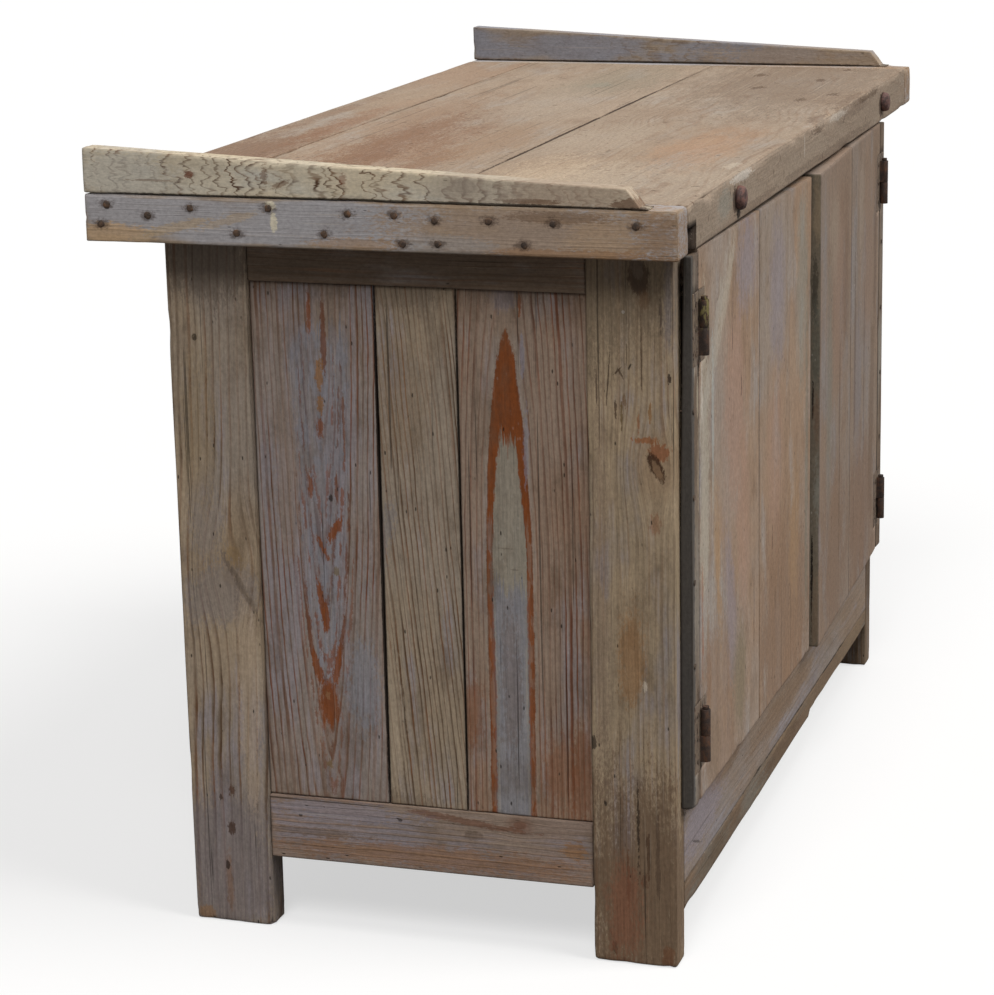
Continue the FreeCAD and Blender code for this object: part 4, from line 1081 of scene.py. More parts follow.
# Legs
FOOT_GRIME = tone(98, 74, 56)
leg_looks = {
    "leg_front_left": look_of(
        END_LOOK, 31.7, light=tone(168, 148, 122), second=tone(158, 140, 116), cover=0.3, late=0.55,
        faded=0.15, grime=0.5, knots=(Knot(0.536, -0.2735, 0.012, RED_BROWN, 0.0),), halo=tone(140, 112, 86),
        marks=(
            Mark(0.727, -0.257, 0.021, 0.012, tone(56, 33, 22), 0.95, 0.5),
            Mark(0.737, -0.256, 0.012, 0.007, tone(118, 104, 92), 0.85, 0.8),
            Mark(0.704, -0.262, 0.010, 0.007, tone(134, 92, 56), 0.5, 1.2, soft=0.4),
            Mark(0.655, -0.259, 0.050, 0.0009, tone(80, 60, 44), 0.8, 0.6),
            Mark(0.692, -0.279, 0.020, 0.0020, tone(80, 68, 62), 0.7, 1.1),
            Mark(0.710, -0.287, 0.05, 0.005, tone(148, 140, 142), 0.6, 1.0, soft=0.4),
            Mark(0.633, -0.235, 0.005, 0.0013, tone(74, 54, 40), 0.85, 1.2, lean=0.9),
            Mark(0.629, -0.238, 0.006, 0.0012, tone(74, 54, 40), 0.8, 1.2, lean=-0.5),
            Mark(0.637, -0.247, 0.005, 0.0020, HOLE, 0.85, 1.2, lean=0.6),
            Mark(0.601, -0.241, 0.008, 0.0040, tone(108, 76, 48), 0.6, 1.5),
            Mark(0.595, -0.232, 0.011, 0.0016, tone(78, 58, 42), 0.8, 1.2),
            Mark(0.590, -0.238, 0.018, 0.0014, tone(98, 78, 48), 0.8, 1.2),
            Mark(0.626, -0.2875, 0.007, 0.0022, tone(48, 32, 24), 0.9, 1.0),
            Mark(0.622, -0.2245, 0.034, 0.0009, tone(70, 54, 42), 0.8, 0.8, lean=0.08),
            Mark(0.612, -0.2125, 0.020, 0.0009, tone(70, 54, 42), 0.8, 0.8),
            Mark(0.652, -0.244, 0.016, 0.0008, tone(78, 62, 48), 0.7, 0.8),
            Mark(0.592, -0.2675, 0.012, 0.0022, tone(138, 96, 50), 0.7, 1.1),
            Mark(0.583, -0.2555, 0.014, 0.0014, tone(150, 92, 52), 0.6, 1.1),
            Mark(0.563, -0.262, 0.0042, 0.014, tone(146, 88, 48), 0.75, 1.1),
            Mark(0.551, -0.276, 0.009, 0.012, tone(140, 84, 52), 0.75, 1.1),
            Mark(0.536, -0.2735, 0.016, 0.0078, tone(66, 43, 28), 0.95, 0.6, lean=-0.45),
            Mark(0.533, -0.2745, 0.0108, 0.0047, tone(128, 102, 78), 0.85, 0.6, lean=-0.45),
            Mark(0.477, -0.272, 0.012, 0.006, ORANGE, 0.45, 1.3, soft=0.4),
            Mark(0.338, -0.247, 0.055, 0.013, OCHRE, 0.55, 1.2, soft=0.4),
            Mark(0.305, -0.260, 0.007, 0.0028, PALE, 0.7, 0.9),
            Mark(0.137, -0.261, 0.006, 0.0026, HOLE, 0.9, 1.0),
            Mark(0.118, -0.262, 0.026, 0.0018, SEAM_DARK, 0.85, 1.2),
            Mark(0.094, -0.258, 0.010, 0.0045, tone(80, 48, 34), 0.7, 1.5),
            Mark(0.096, -0.240, 0.036, 0.0018, SEAM_DARK, 0.85, 1.2),
            Mark(0.016, -0.225, 0.008, 0.0036, HOLE, 0.85, 0.9),
            Mark(0.012, -0.282, 0.012, 0.007, tone(150, 92, 54), 0.7, 0.9),
            Mark(0.692, -0.241, 0.002, 0.0018, CHALK, 0.9, 0.3),
            Mark(0.08, -0.247, 0.15, 0.08, FOOT_GRIME, 0.7, 0.9),
            Mark(0.06, -0.235, 0.06, 0.02, tone(132, 84, 62), 0.6, 1.2, soft=0.4),
            Mark(0.15, -0.251, 0.05, 0.0018, SEAM_DARK, 0.75, 1.3),
            Mark(0.13, -0.272, 0.05, 0.0022, tone(88, 70, 56), 0.7, 1.4),
            Mark(0.240, -0.2045, 0.010, 0.0030, HOLE, 0.8, 1.0),
            Mark(0.175, -0.217, 0.003, 0.0016, HOLE, 0.8, 0.8),
            Mark(0.40, -0.215, 0.20, 0.010, tone(132, 112, 96), 0.5, 1.2, soft=0.4),
            # Painted shade at the top of the stile, under the worktop's overhang
            Mark(0.740, -0.230, 0.105, 0.09, tone(92, 78, 64), 0.55, 0.9, soft=0.5),
        ),
    ),
    "leg_back_left": look_of(
        END_LOOK, 34.2, knots=(Knot(0.404, 0.190, 0.016, tone(150, 124, 88), 0.6),), halo=tone(140, 118, 92),
        lean=0.02, wave=0.03, faded=0.5, ring=0.0095, late=1.6,
        marks=(
            Mark(0.07, 0.203, 0.10, 0.06, tone(122, 114, 118), 0.6, 0.8),
            Mark(0.008, 0.236, 0.008, 0.010, tone(150, 112, 72), 0.6, 0.9),
            Mark(0.647, 0.219, 0.004, 0.003, HOLE, 0.8, 0.5),
            Mark(0.152, 0.200, 0.008, 0.0042, tone(88, 62, 46), 0.85, 1.3),
            Mark(0.109, 0.202, 0.008, 0.0045, tone(74, 52, 40), 0.85, 1.2),
            Mark(0.045, 0.207, 0.030, 0.0034, tone(128, 92, 66), 0.55, 1.4, soft=0.4),
            Mark(0.066, 0.209, 0.0045, 0.0022, HOLE, 0.8, 1.0),
            Mark(0.143, 0.2135, 0.0035, 0.0022, tone(64, 46, 36), 0.8, 1.0),
            Mark(0.37, 0.205, 0.035, 0.05, tone(132, 126, 126), 0.5, 1.0, lean=0.5),
            Mark(0.46, 0.215, 0.05, 0.02, tone(128, 122, 122), 0.5, 1.0),
            Mark(0.25, 0.175, 0.12, 0.014, tone(178, 158, 136), 0.6, 1.0),
            # Painted shade at the top of the stile, under the worktop's overhang
            Mark(0.735, 0.205, 0.05, 0.06, tone(92, 80, 70), 0.6, 0.8),
            Mark(0.376, 0.176, 0.024, 0.0036, tone(84, 68, 54), 0.5, 1.9, lean=-0.55, soft=0.4),
            Mark(0.55, 0.22, 0.08, 0.02, tone(156, 136, 108), 0.5, 1.0),
        ),
    ),
    # Painted shade: this leg's darker tones and its heavier, darker grime stand for the shade it stands in at
    # the far end
    "leg_front_right": look_of(
        END_LOOK, 37.5, light=tone(122, 106, 88), second=tone(108, 92, 76), third=tone(104, 96, 88),
        grime=0.6, grime_tone=tone(72, 56, 42),
    ),
    "leg_back_right": look_of(END_LOOK, 39.6),
}
for node, look in leg_looks.items():
    worn_board(node, "Z", "X", look, step=(0.012, 0.005, 0.007), radius_at=foot_radius)

# Rails and planks of the two ends
end_looks = {
    "front": look_of(
        END_LOOK, 41.2, light=tone(152, 132, 116), second=tone(148, 122, 102), third=tone(146, 134, 128),
        dark=tone(98, 60, 44), warm=RED_LINE, cover=0.3, opaque=0.4, ring=0.0058, wave=0.006, point=0.35,
        pith=(0.0175, 0.011, 0.094, 0.0005), late=1.3, faded=0.55,
        bands=(
            Band(0.0262, 0.0292, 0.001, 0.0, 0.66, tone(160, 146, 134), 0.6, 0.3),
            Band(-0.02, 0.0256, 0.0006, 0.47, 0.75, ORANGE, 1.0, 1.0),
            Band(0.0192, 0.0256, 0.0007, 0.0, 0.49, ORANGE, 0.9, 0.55),
            Band(-0.02, 0.0190, 0.0006, 0.0, 0.548, tone(150, 142, 128), 0.95, 1.0),
            Band(-0.02, 0.0186, 0.004, 0.0, 0.40, tone(136, 135, 142), 0.85, 0.9),
        ),
        marks=(
            Mark(0.694, -0.132, 0.016, 0.002, ORANGE, 0.8, 0.9),
            Mark(0.206, -0.166, 0.05, 0.02, ORANGE, 0.35, 1.2),
            Mark(0.640, -0.134, 0.03, 0.003, OLD_BLUE, 0.7, 0.9),
            Mark(0.700, -0.116, 0.014, 0.014, OLD_BLUE, 0.5, 1.0),
            Mark(0.30, -0.116, 0.08, 0.012, tone(112, 90, 78), 0.35, 1.2),
            Mark(0.55, -0.136, 0.05, 0.004, tone(146, 140, 148), 0.6, 1.0),
            Mark(0.26, -0.074, 0.05, 0.012, ORANGE, 0.35, 1.2),
            Mark(0.20, -0.19, 0.08, 0.010, tone(120, 72, 44), 0.45, 1.1),
            Mark(0.44, -0.112, 0.0012, 0.010, tone(96, 80, 66), 0.4, 1.4),
            Mark(0.418, -0.120, 0.0010, 0.008, tone(96, 80, 66), 0.4, 1.4),
            # Painted shade along the top of the plank, under the top rail and the worktop's overhang
            Mark(0.72, -0.14, 0.03, 0.08, tone(100, 84, 72), 0.4, 0.9),
            Mark(0.43, -0.0655, 0.32, 0.0007, SEAM_DARK, 0.8, 0.5),
        ),
    ),
    "middle": look_of(
        END_LOOK, 44.6, light=KHAKI, second=tone(156, 142, 126), third=tone(148, 138, 128), cover=0.3,
        wave=0.022, lean=-0.09, ring=0.0056, pith=(0.16, 0.03, 0.0, 0.0), late=1.45, faded=0.6,
        marks=(
            Mark(0.42, 0.028, 0.06, 0.012, tone(132, 128, 130), 0.5, 1.0, lean=0.3),
            Mark(0.24, 0.02, 0.10, 0.02, tone(168, 152, 132), 0.5, 1.0),
            Mark(0.60, 0.00, 0.08, 0.03, tone(146, 124, 100), 0.4, 1.0),
            Mark(0.155, 0.0, 0.012, 0.04, tone(84, 68, 54), 0.3, 1.4),
            Mark(0.43, 0.0212, 0.32, 0.0012, SEAM_DARK, 0.9, 0.4),
            Mark(0.43, -0.0638, 0.32, 0.0007, SEAM_DARK, 0.8, 0.5),
            # Painted shade along the top of the plank, under the top rail and the worktop's overhang
            Mark(0.70, 0.0, 0.02, 0.05, tone(104, 90, 78), 0.4, 0.9),
        ),
    ),
    "back": look_of(
        END_LOOK, 47.1, light=tone(150, 138, 130), second=tone(148, 130, 116), dark=tone(104, 70, 52),
        warm=RED_LINE, ring=0.0058, wave=0.010, run=-1.0, cover=0.5, opaque=0.55, point=0.4,
        pith=(-0.0053, 0.010, 0.077, -0.2105), late=1.45, faded=0.5,
        bands=(
            Band(-0.02, 0.0330, 0.002, 0.17, 0.66, tone(138, 137, 144), 0.8, 0.6),
            Band(0.0330, 0.0352, 0.0006, 0.20, 0.50, RED_BROWN, 0.8, 0.2),
            Band(0.0282, 0.0300, 0.0005, 0.26, 0.56, ORANGE, 0.7, 0.1),
            Band(0.0225, 0.0243, 0.0006, 0.33, 0.62, RED_BROWN, 0.7, 0.1),
            Band(0.0165, 0.0180, 0.0006, 0.36, 0.66, ORANGE, 0.6, 0.1),
            Band(0.0385, 0.0402, 0.0006, 0.15, 0.42, ORANGE, 0.6, 0.1),
        ),
        marks=(
            Mark(0.650, 0.079, 0.040, 0.003, RED_BROWN, 0.8, 1.0),
            Mark(0.680, 0.094, 0.026, 0.0028, ORANGE, 0.8, 1.0),
            Mark(0.612, 0.085, 0.018, 0.005, OCHRE, 0.8, 1.2),
            Mark(0.581, 0.085, 0.010, 0.004, OCHRE, 0.8, 1.2),
            Mark(0.554, 0.086, 0.014, 0.0045, ORANGE, 0.8, 1.2),
            Mark(0.566, 0.060, 0.034, 0.0018, RED_BROWN, 0.8, 1.0),
            Mark(0.492, 0.099, 0.016, 0.0028, ORANGE, 0.8, 1.2),
            Mark(0.493, 0.070, 0.018, 0.0028, RED_BROWN, 0.8, 1.2),
            Mark(0.482, 0.077, 0.004, 0.0026, HOLE, 0.8, 0.8),
            Mark(0.447, 0.074, 0.016, 0.0055, ORANGE, 0.9, 1.1, lean=0.5),
            Mark(0.428, 0.088, 0.014, 0.0035, ORANGE, 0.85, 1.1, lean=-0.4),
            Mark(0.403, 0.073, 0.006, 0.003, tone(112, 94, 62), 0.7, 1.0),
            Mark(0.365, 0.091, 0.030, 0.0032, ORANGE, 0.85, 1.1, lean=-0.12),
            Mark(0.350, 0.087, 0.020, 0.005, ORANGE, 0.85, 1.1),
            Mark(0.335, 0.106, 0.036, 0.0026, RED_BROWN, 0.8, 1.0, lean=-0.1),
            Mark(0.296, 0.099, 0.020, 0.0042, ORANGE, 0.85, 0.9, lean=-0.22),
            Mark(0.340, 0.068, 0.036, 0.0026, RED_BROWN, 0.8, 1.0, lean=0.16),
            Mark(0.300, 0.076, 0.022, 0.0042, ORANGE, 0.85, 0.9, lean=0.14),
            Mark(0.256, 0.086, 0.030, 0.0125, ORANGE, 0.95, 0.7),
            Mark(0.266, 0.088, 0.005, 0.003, tone(156, 118, 84), 0.6, 1.2),
            Mark(0.189, 0.089, 0.008, 0.004, tone(124, 96, 54), 0.7, 1.0),
            Mark(0.165, 0.075, 0.012, 0.003, RED_BROWN, 0.6, 1.0),
            Mark(0.275, 0.048, 0.05, 0.020, tone(136, 138, 146), 0.6, 1.0),
            Mark(0.43, 0.0232, 0.32, 0.0015, SEAM_DARK, 0.95, 0.4),
            Mark(0.50, 0.125, 0.10, 0.016, tone(148, 130, 118), 0.5, 1.0),
            # Painted shade along the top of the plank, under the top rail and the worktop's overhang
            Mark(0.72, 0.09, 0.03, 0.07, tone(100, 86, 78), 0.4, 0.9),
        ),
    ),
}
rail_looks = {
    "bottom": look_of(
        END_LOOK, 51.4, pith=(0.09, 0.03, 0.0, 0.0), cover=0.4,
        knots=(Knot(-0.123, 0.142, 0.005, RED_BROWN, 0.5),),
        light=tone(146, 128, 114), second=tone(144, 124, 112), third=tone(136, 126, 124), late=0.4, fibre=0.8,
        marks=(
            Mark(-0.02, 0.096, 0.19, 0.016, tone(142, 106, 78), 0.65, 1.0),
            Mark(-0.182, 0.120, 0.016, 0.012, OCHRE, 0.6, 1.0),
            Mark(0.123, 0.130, 0.003, 0.002, HOLE, 0.8, 0.6),
            Mark(0.010, 0.135, 0.0035, 0.0024, HOLE, 0.8, 0.6),
            Mark(0.08, 0.138, 0.10, 0.012, OLD_BLUE, 0.6, 1.0),
            Mark(-0.06, 0.141, 0.07, 0.004, tone(112, 72, 52), 0.6, 1.1, lean=-0.1),
            Mark(-0.07, 0.125, 0.012, 0.006, tone(96, 78, 64), 0.5, 1.0),
            Mark(0.10, 0.112, 0.08, 0.006, tone(112, 92, 76), 0.5, 1.1),
        ),
    ),
    # Painted shade: the top rail's darker tones stand for the shade under the worktop's overhang
    "top": look_of(
        END_LOOK, 54.9, light=tone(122, 104, 88), second=tone(110, 94, 80), cover=0.2, rim=0.15, late=0.5,
    ),
}
for end, shift in (("left", 0.0), ("right", 60.0)):
    for part, look in end_looks.items():
        node = "end_plank_%s_%s" % (part, end)
        low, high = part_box(node)
        low.z, high.z = PLANK_LOW, PLANK_HIGH
        own_look = look_of(look, look["seed"] + shift)
        worn_board(node, "Z", "X", own_look, low=low, high=high, soft=END_PLANK_RADIUS)
    for part, look in rail_looks.items():
        node = "end_%s_rail_%s" % (part, end)
        low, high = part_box(node)
        low.y, high.y = RAIL_FRONT, RAIL_BACK
        own_look = look_of(look, look["seed"] + shift)
        worn_board(node, "Y", "X", own_look, low=low, high=high, soft=END_RAIL_RADIUS)

# Front rails and the strip under them
rail_marks = (
    Mark(-0.07, 0.0825, 0.56, 0.0016, SEAM_DARK, 0.95, 0.5),
    Mark(-0.50, 0.13, 0.09, 0.035, tone(146, 138, 146), 0.7, 1.2, soft=0.4),
    Mark(-0.10, 0.12, 0.16, 0.018, tone(128, 104, 82), 0.6, 1.2, soft=0.4),
    Mark(0.20, 0.13, 0.14, 0.02, tone(138, 118, 98), 0.5, 1.2, soft=0.4),
    Mark(-0.38, 0.146, 0.07, 0.010, tone(120, 96, 74), 0.6, 1.3, soft=0.4),
    Mark(-0.52, 0.108, 0.02, 0.0016, SEAM_DARK, 0.6, 1.2, lean=0.4),
    Mark(-0.44, 0.064, 0.10, 0.014, tone(108, 92, 74), 0.6, 1.2, soft=0.4),
    Mark(-0.12, 0.066, 0.12, 0.012, tone(96, 76, 60), 0.6, 1.2, soft=0.4),
)
front_boards = {
    "front_bottom_rail": look_of(RAIL_LOOK, 61.2, marks=rail_marks),
    "front_bottom_strip": look_of(STRIP_LOOK, 63.5, marks=rail_marks),
    "front_top_rail": look_of(RAIL_LOOK, 66.1),
}
for node, look in front_boards.items():
    low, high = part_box(node)
    low.x, high.x = RAIL_LEFT, RAIL_RIGHT
    worn_board(node, "X", "Y", look, low=low, high=high, step=(0.010, 0.006, 0.008),
               shape=strip_shape if node == "front_bottom_strip" else None)


# Hinge laths and doors, each with a shallow bed for the hinge leaves
def in_leaf_bed(spot, edge, side):
    """True on the part of a front face that is let in for a hinge leaf."""
    reach = (spot.x - edge) * side
    return reach < LEAF_REACH and any(abs(spot.z - height) < LEAF_HALF for height in HINGE_HEIGHTS)


def bed_places(edge, side):
    """Pairs of loops on both sides of each edge of the beds."""
    heights = [height + way * LEAF_HALF for height in HINGE_HEIGHTS for way in (-1.0, 1.0)]
    both = (-BED_LOOP, BED_LOOP)
    return {
        "X": [edge + side * LEAF_REACH + step for step in both],
        "Z": [height + step for height in heights for step in both],
    }


def let_in(spot, edge, side):
    """Sinks the front face under a hinge leaf."""
    if spot.y < DOOR_FRONT + LEAF_SKIN and in_leaf_bed(spot, edge, side):
        spot.y = DOOR_FRONT + LEAF_THICK


def lath_shape(edge, side, taper):
    """Lets in the hinge leaves, and thins the left lath towards its top."""
    def shape(spot):
        let_in(spot, edge, side)
        start = LATH_TOP - LATH_TAPER_LENGTH
        if taper and spot.y > LATH_MIDDLE and spot.z > start:
            spot.y -= LATH_TAPER * (spot.z - start) / LATH_TAPER_LENGTH
        return spot
    return shape


LATH_LOOK = {
    **DOOR_LOOK,
    "light": tone(128, 113, 99), "second": tone(112, 95, 80), "third": tone(118, 112, 108),
    "flank": tone(70, 66, 62), "paint": tone(166, 156, 140), "cover": 0.42, "grime": 0.5,
    "grime_tone": tone(74, 58, 46), "rim": 0.6,
}
lath_marks = (
    Mark(0.46, -0.5845, 0.60, 0.0085, tone(82, 80, 78), 0.85, 0.9),
    Mark(0.67, -0.561, 0.07, 0.003, SEAM_DARK, 0.8, 1.2),
    Mark(0.60, -0.563, 0.02, 0.004, tone(186, 174, 154), 0.7, 1.2),
    Mark(0.52, -0.561, 0.05, 0.004, tone(176, 160, 138), 0.6, 1.2),
    Mark(0.24, -0.565, 0.06, 0.008, tone(66, 48, 36), 0.7, 1.0),
)
for end, side, seed in (("left", -1.0, 71.3), ("right", 1.0, 73.8)):
    edge = LATH_EDGES[end]
    look = look_of(LATH_LOOK, seed, marks=lath_marks)
    worn_board(
        "hinge_lath_" + end, "Z", "Y", look, step=(0.012, 0.006, 0.006), soft=LATH_RADIUS,
        shape=lath_shape(edge, side, end == "left"), extra=bed_places(edge, side),
    )


def door_shape(axis, side, stop, edge, turn, sag):
    """Lets in the hinge leaves, lets the door sag from its hinges and stands it ajar."""
    def shape(spot):
        if edge is not None:
            let_in(spot, edge, side)
        spot.z -= sag * abs(spot.x - axis.x) / stop
        return axis + turn @ (spot - axis) if turn else spot
    return shape


RIGHT_TONES = {
    "light": tone(144, 129, 117), "second": tone(144, 124, 108), "third": tone(138, 131, 132),
    "paint": tone(150, 142, 132),
}
LOW_BROWN = tone(146, 116, 92)
LILAC = tone(150, 140, 144)
PINK_BARE = tone(172, 140, 122)
SANDY = tone(172, 140, 106)
door_looks = {
    "left_hinge_plank": look_of(
        DOOR_LOOK, 81.3,
        marks=(
            Mark(0.50, -0.535, 0.17, 0.020, tone(188, 180, 164), 0.6, 1.3),
            Mark(0.24, -0.46, 0.14, 0.12, LOW_BROWN, 0.5, 0.9),
            Mark(0.67, -0.45, 0.08, 0.016, tone(190, 180, 164), 0.6, 1.2, lean=-0.8, soft=0.4),
            Mark(0.63, -0.50, 0.10, 0.014, tone(182, 174, 162), 0.6, 1.2, lean=-0.7, soft=0.4),
            Mark(0.55, -0.40, 0.10, 0.05, PINK_BARE, 0.7, 1.0, soft=0.45),
            Mark(0.55, -0.498, 0.12, 0.006, tone(176, 184, 182), 0.5, 1.2),
            Mark(0.30, -0.52, 0.10, 0.010, tone(140, 108, 82), 0.5, 1.1),
            Mark(0.70, -0.34, 0.05, 0.05, LILAC, 0.8, 1.0, soft=0.45),
            Mark(0.42, -0.36, 0.10, 0.03, PINK_BARE, 0.6, 1.0, soft=0.45),
            Mark(0.34, -0.42, 0.09, 0.025, LILAC, 0.7, 1.1, lean=0.2, soft=0.45),
            Mark(0.40, -0.48, 0.10, 0.016, SANDY, 0.7, 1.1, lean=0.15, soft=0.45),
            Mark(0.25, -0.38, 0.06, 0.03, tone(134, 122, 100), 0.7, 1.0, soft=0.45),
            Mark(0.21, -0.50, 0.04, 0.03, tone(136, 116, 96), 0.5, 1.0),
            Mark(0.66, -0.556, 0.06, 0.003, SEAM_DARK, 0.8, 1.3),
            Mark(0.60, -0.545, 0.03, 0.004, CHALK, 0.5, 1.3),
            Mark(0.36, -0.545, 0.06, 0.005, tone(150, 84, 50), 0.5, 1.3),
            Mark(0.63, -0.41, 0.012, 0.0014, tone(88, 68, 54), 0.7, 1.4),
            Mark(0.57, -0.37, 0.009, 0.0016, tone(88, 68, 54), 0.7, 1.6),
            Mark(0.30, -0.31, 0.05, 0.002, tone(104, 82, 66), 0.6, 1.5),
            Mark(0.47, -0.285, 0.10, 0.002, tone(100, 82, 68), 0.6, 1.5),
        ),
    ),
    "left_meeting_plank": look_of(
        DOOR_LOOK, 83.9, light=tone(158, 143, 130),
        marks=(
            Mark(0.24, -0.15, 0.16, 0.16, tone(140, 112, 90), 0.75, 0.9),
            Mark(0.45, -0.20, 0.10, 0.04, PINK_BARE, 0.5, 1.0),
            Mark(0.62, -0.06, 0.12, 0.03, tone(146, 144, 134), 0.6, 1.0),
            Mark(0.40, -0.03, 0.20, 0.010, tone(128, 124, 112), 0.6, 1.1),
            Mark(0.64, -0.19, 0.08, 0.04, LILAC, 0.7, 1.0, soft=0.45),
            Mark(0.34, -0.10, 0.08, 0.03, SANDY, 0.5, 1.0, soft=0.45),
            Mark(0.55, -0.10, 0.06, 0.03, tone(166, 144, 124), 0.5, 1.0),
            Mark(0.36, -0.215, 0.018, 0.0016, tone(84, 66, 52), 0.7, 1.5),
            Mark(0.28, -0.20, 0.014, 0.0016, tone(84, 66, 52), 0.7, 1.5),
            Mark(0.50, -0.14, 0.012, 0.0014, tone(88, 70, 56), 0.6, 1.5),
            Mark(0.66, -0.24, 0.010, 0.0018, tone(92, 74, 60), 0.6, 1.5),
        ),
    ),
    "right_hinge_plank": look_of(
        DOOR_LOOK, 91.6,
        marks=(
            Mark(0.26, 0.30, 0.12, 0.10, tone(128, 102, 84), 0.6, 0.9),
            Mark(0.55, 0.34, 0.12, 0.04, tone(146, 124, 110), 0.5, 1.0),
            Mark(0.44, 0.27, 0.10, 0.03, tone(134, 128, 130), 0.6, 1.2, soft=0.4),
            Mark(0.36, 0.38, 0.14, 0.02, tone(116, 96, 80), 0.6, 1.2, soft=0.4),
            Mark(0.50, 0.245, 0.22, 0.006, tone(104, 86, 72), 0.6, 1.3),
            Mark(0.60, 0.40, 0.10, 0.012, tone(112, 94, 82), 0.6, 1.3, soft=0.4),
            Mark(0.45, 0.318, 0.16, 0.003, tone(96, 78, 64), 0.6, 1.2),
            Mark(0.66, 0.29, 0.06, 0.02, tone(158, 144, 130), 0.6, 1.3, soft=0.4),
        ),
        **RIGHT_TONES,
    ),
    "right_meeting_plank": look_of(
        # Its narrow sides take a darker tone: painted shade in the gap between the doors
        DOOR_LOOK, 93.1, flank=tone(106, 98, 84),
        edge_marks=(
            Mark(0.70, -0.312, 0.04, 0.006, tone(140, 124, 102), 0.6, 1.2, soft=0.4),
            Mark(0.61, -0.309, 0.04, 0.004, tone(62, 58, 50), 0.75, 1.4, soft=0.3),
            Mark(0.53, -0.311, 0.06, 0.006, tone(88, 90, 82), 0.6, 1.2, soft=0.4),
            Mark(0.47, -0.3072, 0.03, 0.0016, tone(24, 18, 14), 0.95, 1.0),
            Mark(0.45, -0.312, 0.04, 0.006, tone(110, 88, 72), 0.6, 1.2, soft=0.4),
            Mark(0.36, -0.313, 0.05, 0.005, tone(132, 132, 124), 0.6, 1.3, soft=0.4),
            Mark(0.26, -0.3070, 0.07, 0.0014, tone(24, 18, 14), 0.95, 1.0),
            Mark(0.21, -0.312, 0.04, 0.005, tone(118, 100, 82), 0.6, 1.3, soft=0.4),
            Mark(0.40, -0.3165, 0.30, 0.0016, tone(150, 136, 118), 0.5, 1.6),
        ),
        marks=(
            Mark(0.26, 0.10, 0.12, 0.10, tone(130, 104, 84), 0.6, 0.9),
            Mark(0.58, 0.13, 0.12, 0.05, tone(148, 122, 106), 0.5, 1.0),
            Mark(0.46, 0.06, 0.16, 0.02, tone(128, 124, 114), 0.6, 1.2, soft=0.4),
            Mark(0.60, 0.17, 0.10, 0.02, tone(122, 100, 84), 0.6, 1.3, soft=0.4),
            Mark(0.40, 0.135, 0.16, 0.004, tone(100, 82, 68), 0.6, 1.3),
            Mark(0.66, 0.09, 0.05, 0.03, tone(158, 142, 126), 0.6, 1.3, soft=0.4),
        ),
        **RIGHT_TONES,
    ),
}


def door_boards(end, axis, side, stop, split, turn, ledge_seeds):
    """Two planks and two ledges of one door."""
    body = end + "_door"
    near = axis.x + side * DOOR_GAP
    seam = axis.x + side * split
    spans = {"hinge_plank": (near, seam), "meeting_plank": (seam + side * DOOR_GAP, axis.x + side * stop)}
    for part, ends in spans.items():
        edge = near if part == "hinge_plank" else None
        low = Vector((min(ends), DOOR_FRONT, DOOR_LOW))
        high = Vector((max(ends), DOOR_BACK, DOOR_HIGH))
        worn_board(
            "%s_%s" % (body, part), "Z", "Y", door_looks["%s_%s" % (end, part)], body, low, high,
            step=(0.012, 0.007, 0.008), shape=door_shape(axis, side, stop, edge, turn, DOOR_SAG[end]),
            extra=bed_places(near, side) if edge is not None else None,
        )

    def ledge_shape(spot):
        return axis + turn @ (spot - axis) if turn else spot

    for part in LEDGES:
        node = "%s_%s" % (body, part)
        ends = (axis.x + side * LEDGE_NEAR, axis.x + side * (stop - LEDGE_FAR))
        low = Vector((min(ends), DOOR_BACK, low_of(node).z))
        high = Vector((max(ends), LEDGE_BACK, high_of(node).z))
        look = look_of(INNER_LOOK, ledge_seeds[part])
        worn_board(node, "X", "Y", look, body, low, high, step=(0.02, 0.01, 0.008),
                   shape=ledge_shape)


door_boards("left", LEFT_AXIS, 1.0, LEFT_STOP, LEFT_SEAM, None, {"low_ledge": 85.2, "high_ledge": 87.7})
door_boards("right", RIGHT_AXIS, -1.0, RIGHT_STOP, RIGHT_SEAM, AJAR, {"low_ledge": 95.8, "high_ledge": 97.4})

# Boards of the back and the inside
inner_boards = {
    "back_bottom_rail": "XY", "back_top_rail": "XY",
    "back_plank_1": "ZY", "back_plank_2": "ZY", "back_plank_3": "ZY", "back_plank_4": "ZY",
    "floor_board_1": "XZ", "floor_board_2": "XZ", "floor_board_3": "XZ",
    "shelf_board_1": "XZ", "shelf_board_2": "XZ",
    "floor_bearer_left": "YX", "floor_bearer_right": "YX",
    "shelf_bearer_left": "YX", "shelf_bearer_right": "YX",
}
for number, (node, (grain, face)) in enumerate(inner_boards.items()):
    low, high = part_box(node)
    if node.endswith("_rail"):
        low.x, high.x = RAIL_LEFT, RAIL_RIGHT
    look = look_of(INNER_LOOK, 101.3 + 2.9 * number)
    worn_board(node, grain, face, look, low=low, high=high, step=(0.02, 0.012, 0.01))


# Iron: the upper left knuckles keep old paint above this height, and the leaves lie behind this front
PAINTED_ABOVE = 0.670
LEAF_FRONT = -0.3062
# The depth of the rust, the soft edge of an iron piece, and how near two of its corners are one
RUST_HEIGHT = 0.0006
IRON_EDGE = 0.0004
SAME_CORNER = 0.00001


